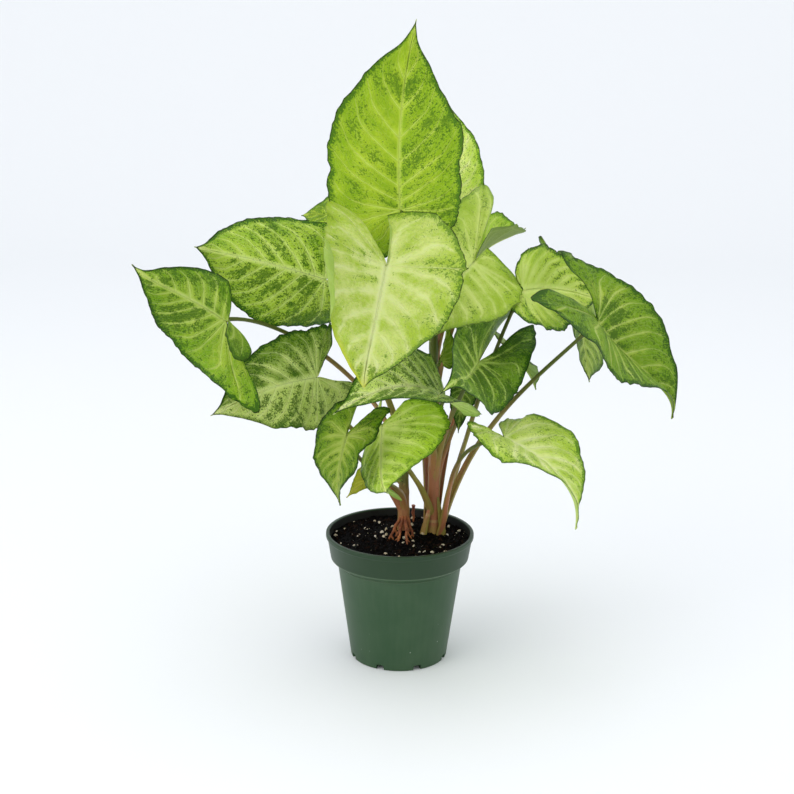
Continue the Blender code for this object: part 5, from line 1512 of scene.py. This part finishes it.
    def bud(self) -> bpy.types.Object:
        """A young leaf's rolled tongue on its thin stalk."""
        route = catmull_rom(self.shoot.bud, 14)
        share = np.linspace(0.0, 1.0, len(route))[:, None]
        angle = ring_angles(self.sides)
        swell = smooth_step(share, *self.bud_swell) * np.sqrt(np.clip((1.003 - share) / 0.20, 0.0, 1.0))
        stalk = self.bud_radius * (1 - share**8)
        across = (stalk + 0.0032 * swell) * np.sin(angle)
        inward = (stalk + 0.0011 * swell) * np.cos(angle) + 0.0012 * swell * np.sin(angle) ** 2
        tongue = Sweeps()
        tongue.add(route, np.stack([across, inward], -1), Vector((0.3, -0.8, 0.5)), 0.5)
        skin = StalkSkin("young_bud", (0.28, 0.40, 0.06), (0.32, 0.44, 0.07), (0.26, 0.40, 0.07))
        return tongue.build("young_bud", skin.make())

    def roots(self) -> bpy.types.Object:
        """Aerial roots that splay from the foot into the mix, each with a few side roots."""
        roots = Sweeps()
        for number, (start, end) in enumerate(self.shoot.roots):
            top = Vector((*start, self.soil_level + self.root_rise))
            tip = Vector((*end, self.soil_level - self.root_sink[0]))
            self.root(roots, top, tip, 1.0, number)
            run = tip - top
            if run.xy.length <= self.longest_bare_root:
                continue
            for share in self.side_roots:
                side = Vector((-run.y, run.x, 0.0)).normalized() * (-1) ** number
                branch = top.lerp(tip, share) + UP * 0.002 * (1 - share)
                reach = branch + side * (0.0065 - 0.003 * share) + run * 0.16
                reach.z = self.soil_level - self.root_sink[1]
                self.root(roots, branch, reach, self.side_root_size, number + 7)
        return roots.build(self.name + "_roots", RootSkin(self.name + "_root").make())

    def root(self, roots: Sweeps, top: Vector, tip: Vector, size: float, seed: int) -> None:
        """Adds one knobbly root from top to tip, with this share of a main root's thickness."""
        share = np.linspace(0, 1, self.root_points)
        route = hermite(top, tip, (tip - top) * 0.5 - UP * 0.008, tip - top, self.root_points)
        wander = soft_noise(share * 3.5, seed, 0.0)
        route[:, 0] += wander * 0.0009 * np.sin(math.pi * share)
        route[:, 1] += wander[::-1] * 0.0007 * np.sin(math.pi * share)
        radius = taper([radius * size for radius in self.root_radii], share, 1.1)
        knob = 1 + 0.22 * soft_noise(share * 9.0, seed * 3.1, 0.0)
        angle = ring_angles(self.root_sides)
        radius = (radius * knob)[:, None] * (1 + 0.10 * np.sin(2 * angle + share[:, None] * 9))
        roots.add(route, ring_rows(radius, angle), Vector((0.2, 0.9, 0.3)), 0.5)


@dataclass
class NurseryPot:
    """The moulded pot: band, step, tapered body and drained foot, in metres."""

    rim_radius: float = 0.054
    rim_depth: float = 0.0030
    rim_edge: float = 0.0007
    band_top: float = 0.0528
    band_foot: float = 0.0505
    body_top: float = 0.0455
    foot: float = 0.0355
    foot_chamfer: float = 0.0010
    height: float = 0.095
    band_foot_height: float = 0.0765
    body_top_height: float = 0.0725
    body_span: Pair = (0.002, 0.068)
    wall: float = 0.0014
    floor: float = 0.0018
    ring_height: float = 0.0020
    ring_width: float = 0.0032
    pad_radius: float = 0.0120
    pad_slope: float = 0.0020
    sides: int = 192
    drains: int = 8
    drain_width: float = 0.0060
    drain_height: float = 0.0040
    drain_reach: Pair = (0.0315, 0.0370)
    drain_outline: tuple[Pair, ...] = (
        (-1, -0.001), (-1, 0.72), (-0.72, 1.0), (0.72, 1.0), (1, 0.72), (1, -0.001),
    )
    bead: float = 0.00035
    sharp_deg: float = 38

    def profile(self) -> list[Pair]:
        """Outline from the centre below to the centre inside, as (radius, height)."""
        inner_foot = self.foot - self.ring_width
        floor_top = self.ring_height + self.floor
        slope = (self.body_top - self.foot) / (self.body_top_height - self.foot_chamfer)
        corner = self.arc((self.foot - self.foot_chamfer, self.foot_chamfer), self.foot_chamfer, -90, -8, 5)
        body = [(self.foot + slope * h, self.foot_chamfer + h) for h in np.linspace(*self.body_span, 12)]
        bead = self.arc((self.body_top, self.body_top_height - self.bead), self.bead, -70, 80, 7)
        step = [
            (self.body_top + 0.0004, self.body_top_height + 0.0002),
            (self.band_foot - 0.0006, self.band_foot_height - 0.0007),
            (self.band_foot - 0.0001, self.band_foot_height - 0.0001),
            (self.band_foot + 0.00008, self.band_foot_height + 0.0006),
        ]
        lip_foot = self.height - self.rim_depth
        band = [(self.band_top, lip_foot - 2 * self.rim_edge)]
        band.append((self.band_top + 0.0004, lip_foot - 0.8 * self.rim_edge))
        band.append((self.rim_radius - 0.0001, lip_foot))
        lip = [(self.rim_radius, lip_foot + 0.0004)]
        centre = (self.rim_radius - self.rim_edge, self.height - self.rim_edge)
        lip += self.arc(centre, self.rim_edge, 0, 90, 6)
        inner = self.band_top - self.wall
        lip += self.arc((inner + self.rim_edge, self.height - self.rim_edge), self.rim_edge, 90, 180, 6)
        under = [(0.0, 0.0), (self.pad_radius, 0.0), (self.pad_radius + self.pad_slope, self.ring_height)]
        under += [(inner_foot - self.foot_chamfer, self.ring_height), (inner_foot, 0.0)]
        inside = [
            (self.band_foot - self.wall, self.band_foot_height),
            (self.body_top - self.wall, self.body_top_height),
            (self.foot - self.wall, floor_top),
            (0.0, floor_top),
        ]
        return under + corner + body + bead + step + band + lip + inside

    @staticmethod
    def arc(centre: Pair, radius: float, start: float, end: float, count: int) -> list[Pair]:
        """Points of an arc in the profile, with its angles in degrees from outwards to upwards."""
        turns = np.radians(np.linspace(start, end, count))
        return [(centre[0] + radius * math.cos(t), centre[1] + radius * math.sin(t)) for t in turns]

    def turned(self, name: str) -> bpy.types.Object:
        """The profile turned round the axis."""
        points, rings, faces = [], [], []
        for radius, height in self.profile():
            if radius == 0.0:
                rings.append([len(points)] * self.sides)
                points.append((0.0, 0.0, height))
                continue
            rings.append(list(range(len(points), len(points) + self.sides)))
            for k in range(self.sides):
                angle = 2 * math.pi * k / self.sides
                points.append((radius * math.cos(angle), radius * math.sin(angle), height))
        for lower, upper in zip(rings, rings[1:]):
            for k in range(self.sides):
                corners = [lower[k], lower[(k + 1) % self.sides], upper[(k + 1) % self.sides], upper[k]]
                faces.append([v for i, v in enumerate(corners) if v != corners[i - 1]])
        return add_object(name, add_mesh(name, points, faces))

    def build(self) -> bpy.types.Object:
        """Makes the pot with its drain holes."""
        pot = self.turned("green_pot")
        shape = bmesh.new()
        for k in range(self.drains):
            angle = 2 * math.pi * (k + 0.5) / self.drains
            out = Vector((math.cos(angle), math.sin(angle), 0.0))
            side = Vector((-out.y, out.x, 0.0)) * self.drain_width / 2
            half = [(share, UP * (height * self.drain_height)) for share, height in self.drain_outline]
            near = [shape.verts.new(out * self.drain_reach[0] + side * s + rise) for s, rise in half]
            far = [shape.verts.new(out * self.drain_reach[1] + side * s + rise) for s, rise in half]
            shape.faces.new(near)
            shape.faces.new(far[::-1])
            for i in range(len(near)):
                follow = (i + 1) % len(near)
                shape.faces.new((near[follow], near[i], far[i], far[follow]))
        bmesh.ops.recalc_face_normals(shape, faces=shape.faces)
        mesh = bpy.data.meshes.new("drain_cutter")
        shape.to_mesh(mesh)
        shape.free()
        cutter = add_object("drain_cutter", mesh)
        cut = pot.modifiers.new("drains", "BOOLEAN")
        cut.operation = "DIFFERENCE"
        cut.solver = "EXACT"
        cut.object = cutter
        settle(pot)
        bpy.data.objects.remove(cutter, do_unlink=True)
        pot.data.shade_smooth()
        pot.data.set_sharp_from_angle(angle=math.radians(self.sharp_deg))
        pot.data.materials.append(PotSkin().make())
        return pot


def settle(piece: bpy.types.Object) -> None:
    """Puts the evaluated mesh in place of the piece's modifiers."""
    graph = bpy.context.evaluated_depsgraph_get()
    made = bpy.data.meshes.new_from_object(piece.evaluated_get(graph))
    piece.modifiers.clear()
    piece.data = made


@dataclass(frozen=True)
class Strewn:
    """Loose pieces of one kind that are strewn over the mix.

    The density counts pieces for each square metre, and sizes are half widths in metres.
    """

    name: str
    skin: GrainSkin
    density: float
    smallest: Point
    largest: Point
    lumps: float
    lump_cells: float
    seed: int
    detail: int


class Strewing:
    """Geometry Nodes that strew uneven lumps over a surface."""

    SHARP_DEG = 50
    INPUTS = (
        ("Surface", "NodeSocketGeometry"),
        ("Density", "NodeSocketFloat"),
        ("Smallest", "NodeSocketVector"),
        ("Largest", "NodeSocketVector"),
        ("Lumps", "NodeSocketFloat"),
        ("Lump cells", "NodeSocketFloat"),
        ("Seed", "NodeSocketInt"),
        ("Detail", "NodeSocketInt"),
        ("Finish", "NodeSocketMaterial"),
    )

    def __init__(self) -> None:
        """Builds the tree."""
        self.tree = bpy.data.node_groups.new("strewing", "GeometryNodeTree")
        self.keys = {}
        for name, kind in self.INPUTS:
            socket = self.tree.interface.new_socket(name=name, in_out="INPUT", socket_type=kind)
            self.keys[name] = socket.identifier
        self.tree.interface.new_socket(name="Pieces", in_out="OUTPUT", socket_type="NodeSocketGeometry")
        given = self.tree.nodes.new("NodeGroupInput").outputs
        points = self.add("GeometryNodeDistributePointsOnFaces", {}, {
            "Mesh": given["Surface"], "Density": given["Density"], "Seed": given["Seed"]})
        lump = self.add("GeometryNodeMeshIcoSphere", {}, {"Radius": 1.0, "Subdivisions": given["Detail"]})
        turn = self.add("FunctionNodeRandomValue", {"data_type": "FLOAT_VECTOR"}, {
            0: (0.0, 0.0, 0.0), 1: (math.tau,) * 3, "Seed": given["Seed"]})
        size = self.add("FunctionNodeRandomValue", {"data_type": "FLOAT_VECTOR"}, {
            0: given["Smallest"], 1: given["Largest"], "Seed": given["Seed"]})
        placed = self.add("GeometryNodeInstanceOnPoints", {}, {
            "Points": points.outputs["Points"], "Instance": lump.outputs["Mesh"],
            "Rotation": turn.outputs[0], "Scale": size.outputs[0]})
        whole = self.add("GeometryNodeRealizeInstances", {}, {"Geometry": placed.outputs["Instances"]})
        cells = self.add("ShaderNodeTexNoise", {}, {"Scale": given["Lump cells"], "Detail": 2.0})
        centred = self.add("ShaderNodeVectorMath", {"operation": "SUBTRACT"}, {
            0: cells.outputs["Color"], 1: (0.5, 0.5, 0.5)})
        push = self.add("ShaderNodeVectorMath", {"operation": "SCALE"}, {
            0: centred.outputs[0], "Scale": given["Lumps"]})
        uneven = self.add("GeometryNodeSetPosition", {}, {
            "Geometry": whole.outputs["Geometry"], "Offset": push.outputs[0]})
        dressed = self.add("GeometryNodeSetMaterial", {}, {
            "Geometry": uneven.outputs["Geometry"], "Material": given["Finish"]})
        result = self.tree.nodes.new("NodeGroupOutput")
        self.tree.links.new(dressed.outputs["Geometry"], result.inputs["Pieces"])

    def add(self, kind: str, settings: dict[str, Any], inputs: dict[int | str, Any]) -> bpy.types.Node:
        """Adds one node with its settings and its links or values."""
        return add_node(self.tree, kind, settings, inputs)

    def strew(self, surface: bpy.types.Mesh, kind: Strewn) -> bpy.types.Object:
        """Strews one kind over a surface.

        Args:
            surface: The mesh that the pieces lie on.
            kind: What is strewn.

        Returns:
            The pieces as one plain mesh object.
        """
        piece = add_object(kind.name, surface)
        nodes = piece.modifiers.new("strewing", "NODES")
        nodes.node_group = self.tree
        values = {
            "Density": kind.density, "Smallest": kind.smallest, "Largest": kind.largest,
            "Lumps": kind.lumps, "Lump cells": kind.lump_cells, "Seed": kind.seed,
            "Detail": kind.detail, "Finish": kind.skin.make(),
        }
        for name, value in values.items():
            nodes[self.keys[name]] = value
        settle(piece)
        piece.data.shade_smooth()
        piece.data.set_sharp_from_angle(angle=math.radians(self.SHARP_DEG))
        return piece


@dataclass
class PottingMix:
    """The moist mix with its perlite, bark and crumbs, in metres."""

    pot: NurseryPot
    shoots: Iterable[Shoot]
    level: float = 0.0890
    relief: float = 0.0013
    fine_relief: float = 0.0009
    rings: int = 44
    sides: int = 150
    gap: float = 0.0003
    heap: float = 0.0014
    calm: float = 0.0150
    seed: int = 7
    wall_rows: int = 3
    stem_radius: float = 0.008
    roll_cells: float = 70.0
    lump_cells: float = 380.0
    fine_cells: float = 900.0

    KINDS = (
        Strewn("perlite", GrainSkin("perlite", (0.80, 0.74, 0.62), (0.46, 0.32, 0.17), 420.0),
               5200.0, (0.0005, 0.0005, 0.0004), (0.0023, 0.0020, 0.0016), 0.0011, 420.0, 4, 3),
        Strewn("perlite_dust", GrainSkin("perlite_dust", (0.50, 0.45, 0.36), (0.16, 0.12, 0.08), 700.0),
               12000.0, (0.0002, 0.0002, 0.0002), (0.0006, 0.0006, 0.0005), 0.0004, 1500.0, 11, 1),
        Strewn("bark_chips", GrainSkin("bark", (0.020, 0.009, 0.005), (0.0030, 0.0018, 0.0014), 300.0),
               26000.0, (0.0004, 0.0010, 0.0003), (0.0012, 0.0034, 0.0008), 0.0010, 500.0, 5, 2),
        Strewn("crumbs", GrainSkin("crumb", (0.0042, 0.003, 0.0026), (0.0012, 0.001, 0.0009), 500.0, 0.85),
               210000.0, (0.0004, 0.0004, 0.0003), (0.0012, 0.0012, 0.0009), 0.0009, 700.0, 8, 1),
    )

    def height(self, x: np.ndarray, y: np.ndarray) -> np.ndarray:
        """Top of the mix, uneven but level where a shoot stands."""
        rolls = soft_noise(x, y, self.seed, self.roll_cells) * self.relief
        lumps = soft_noise(x, y, self.seed, self.lump_cells) * self.fine_relief
        lumps += soft_noise(x, y, self.seed, self.fine_cells) * self.fine_relief * 0.5
        level, heap = np.ones_like(x), np.zeros_like(x)
        for shoot in self.shoots:
            away = np.hypot(x - shoot.centre[0], y - shoot.centre[1])
            level *= np.clip((away - self.stem_radius) / self.calm, 0.15, 1.0)
            heap += self.heap * np.exp(-((away / self.calm) ** 2))
        return self.level + rolls * level + lumps + heap

    def build(self) -> list[bpy.types.Object]:
        """Makes the body of the mix and what lies on it."""
        pot = self.pot
        floor_top = pot.ring_height + pot.floor + self.gap
        heights = (floor_top, pot.body_top_height, pot.band_foot_height, pot.height)
        radii = [r - pot.wall - self.gap for r in (pot.foot, pot.body_top, pot.band_foot, pot.band_top)]
        angle = ring_angles(self.sides)[0]
        rows = []
        for low in (floor_top, pot.body_top_height, pot.band_foot_height):
            reach = float(np.interp(low, heights, radii))
            rows.append(np.stack([reach * np.cos(angle), reach * np.sin(angle), 0 * angle + low], -1))
        edge = float(np.interp(self.level, heights, radii))
        for ring in range(self.rings, 0, -1):
            x, y = edge * ring / self.rings * np.cos(angle), edge * ring / self.rings * np.sin(angle)
            rows.append(np.stack([x, y, self.height(x, y)], -1))
        points = [(0.0, 0.0, floor_top)] + [tuple(p) for row in rows for p in row]
        points.append((0.0, 0.0, float(self.height(np.zeros(1), np.zeros(1))[0])))
        faces, top = [], []
        for k in range(self.sides):
            follow = (k + 1) % self.sides
            faces.append([0, 1 + follow, 1 + k])
            for ring in range(len(rows) - 1):
                low, high = 1 + ring * self.sides, 1 + (ring + 1) * self.sides
                face = [low + k, low + follow, high + follow, high + k]
                faces.append(face)
                if ring >= self.wall_rows:
                    top.append(face)
            last = 1 + (len(rows) - 1) * self.sides
            faces.append([last + k, last + follow, len(points) - 1])
            top.append(faces[-1])
        mix = add_object("moist_mix", add_mesh("moist_mix", points, faces))
        mix.data.materials.append(MixSkin().make())
        surface = add_mesh("mix_top", points, top)
        strewing = Strewing()
        return [mix] + [strewing.strew(surface, kind) for kind in self.KINDS]


@dataclass
class Studio:
    """Pale floor, soft lights and the camera at the photo's viewing angle.

    Lengths are in metres, the camera's sensor in millimetres and angles in degrees. A light is
    given by its name, place, size, power and colour.
    """

    focal_px: float = 1504.9
    image_px: float = 794.0
    sensor: float = 36.0
    pitch: float = 14.82
    roll: float = 0.58
    eye: Point = (-0.0031, -1.0391, 0.4714)
    near: float = 4.0
    far: float = 1.7
    side: float = 5.0
    top: float = 4.0
    sweep: float = 1.2
    sweep_steps: int = 24
    aim: Point = (0.0, 0.0, 0.2)
    sky: tuple[float, ...] = (0.95, 0.97, 1.0, 1.0)

    LIGHTS = (
        ("window", (-1.2, -1.0, 1.15), 1.2, 9.0, (1.0, 0.99, 0.96)),
        ("bounce", (1.3, -1.1, 0.55), 1.6, 3.2, (1.0, 1.0, 0.98)),
        ("ceiling", (0.2, -0.1, 1.9), 1.4, 3.0, (1.0, 1.0, 1.0)),
    )

    def build(self) -> bpy.types.Object:
        """Makes the camera, the lights and the floor, and returns the floor."""
        self.camera()
        for light in self.LIGHTS:
            self.light(*light)
        world = bpy.data.worlds.new("soft_room")
        world.use_nodes = True
        background = world.node_tree.nodes["Background"].inputs
        background["Color"].default_value = self.sky
        background["Strength"].default_value = 1.0
        scene = bpy.context.scene
        scene.world = world
        scene.view_settings.view_transform = "Standard"
        scene.view_settings.look = "None"
        return self.floor()

    def camera(self) -> None:
        """Sets the camera."""
        lens = bpy.data.cameras.new("camera")
        lens.sensor_width = self.sensor
        lens.lens = self.focal_px / self.image_px * self.sensor
        lens.clip_start = 0.02
        eye = add_object("camera", lens)
        tilt = Matrix.Rotation(math.radians(90.0 - self.pitch), 4, "X")
        roll = Matrix.Rotation(math.radians(self.roll), 4, "Z")
        eye.matrix_world = Matrix.Translation(self.eye) @ tilt @ roll
        bpy.context.scene.camera = eye

    def light(self, name: str, place: Point, size: float, power: float, colour: Colour) -> None:
        """Adds one soft light that faces the plant."""
        lamp = bpy.data.lights.new(name, "AREA")
        lamp.size = size
        lamp.energy = power
        lamp.color = colour
        aim = (Vector(self.aim) - Vector(place)).to_track_quat("-Z", "Y")
        made = add_object(name, lamp)
        made.matrix_world = Matrix.Translation(place) @ aim.to_matrix().to_4x4()

    def floor(self) -> bpy.types.Object:
        """The floor, which sweeps up into a plain backdrop behind the plant."""
        rows = [(-self.near, 0.0)]
        for step in range(self.sweep_steps + 1):
            turn = math.radians(90.0) * step / self.sweep_steps
            rows.append((self.far + self.sweep * math.sin(turn), self.sweep * (1 - math.cos(turn))))
        rows.append((self.far + self.sweep, self.top))
        points = [(x, y, z) for y, z in rows for x in (-self.side, self.side)]
        faces = [(2 * k, 2 * k + 1, 2 * k + 3, 2 * k + 2) for k in range(len(rows) - 1)]
        floor = add_object("studio_floor", add_mesh("studio_floor", points, faces))
        floor.data.materials.append(FloorSkin().make())
        return floor


def settle_in(piece: bpy.types.Object, slot: Slot, *nodes: str) -> None:
    """Lets a piece ride on the part in place of its nodes, and reports it."""
    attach(piece, "root")
    if nodes:
        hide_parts(*nodes)
    count = len(piece.data.polygons)
    LOG.info("%s: %d faces, slot %s, stands for %s", piece.name, count, slot.value, nodes)


def main() -> None:
    """Builds the plant, its pot and the studio."""
    Studio().build()
    pot = NurseryPot()
    settle_in(pot.build(), Slot.POT, "nursery_pot")
    for number, piece in enumerate(PottingMix(pot, SHOOTS.values()).build()):
        settle_in(piece, Slot.MIX, *(["potting_soil"] if number == 0 else []))
    for name, shoot in SHOOTS.items():
        carried = {key: leaf for key, leaf in LEAVES.items() if leaf.shoot == name}
        for number, piece in enumerate(Clump(name, shoot, carried).build()):
            settle_in(piece, Slot.STEM, *([name] if number == 0 else []))
    for number, (name, leaf) in enumerate(LEAVES.items(), 1):
        settle_in(Blade(name, leaf, number).build(), Slot.LEAF, name)


if __name__ == "__main__":
    logging.basicConfig(level=logging.INFO, format="%(message)s")
    main()
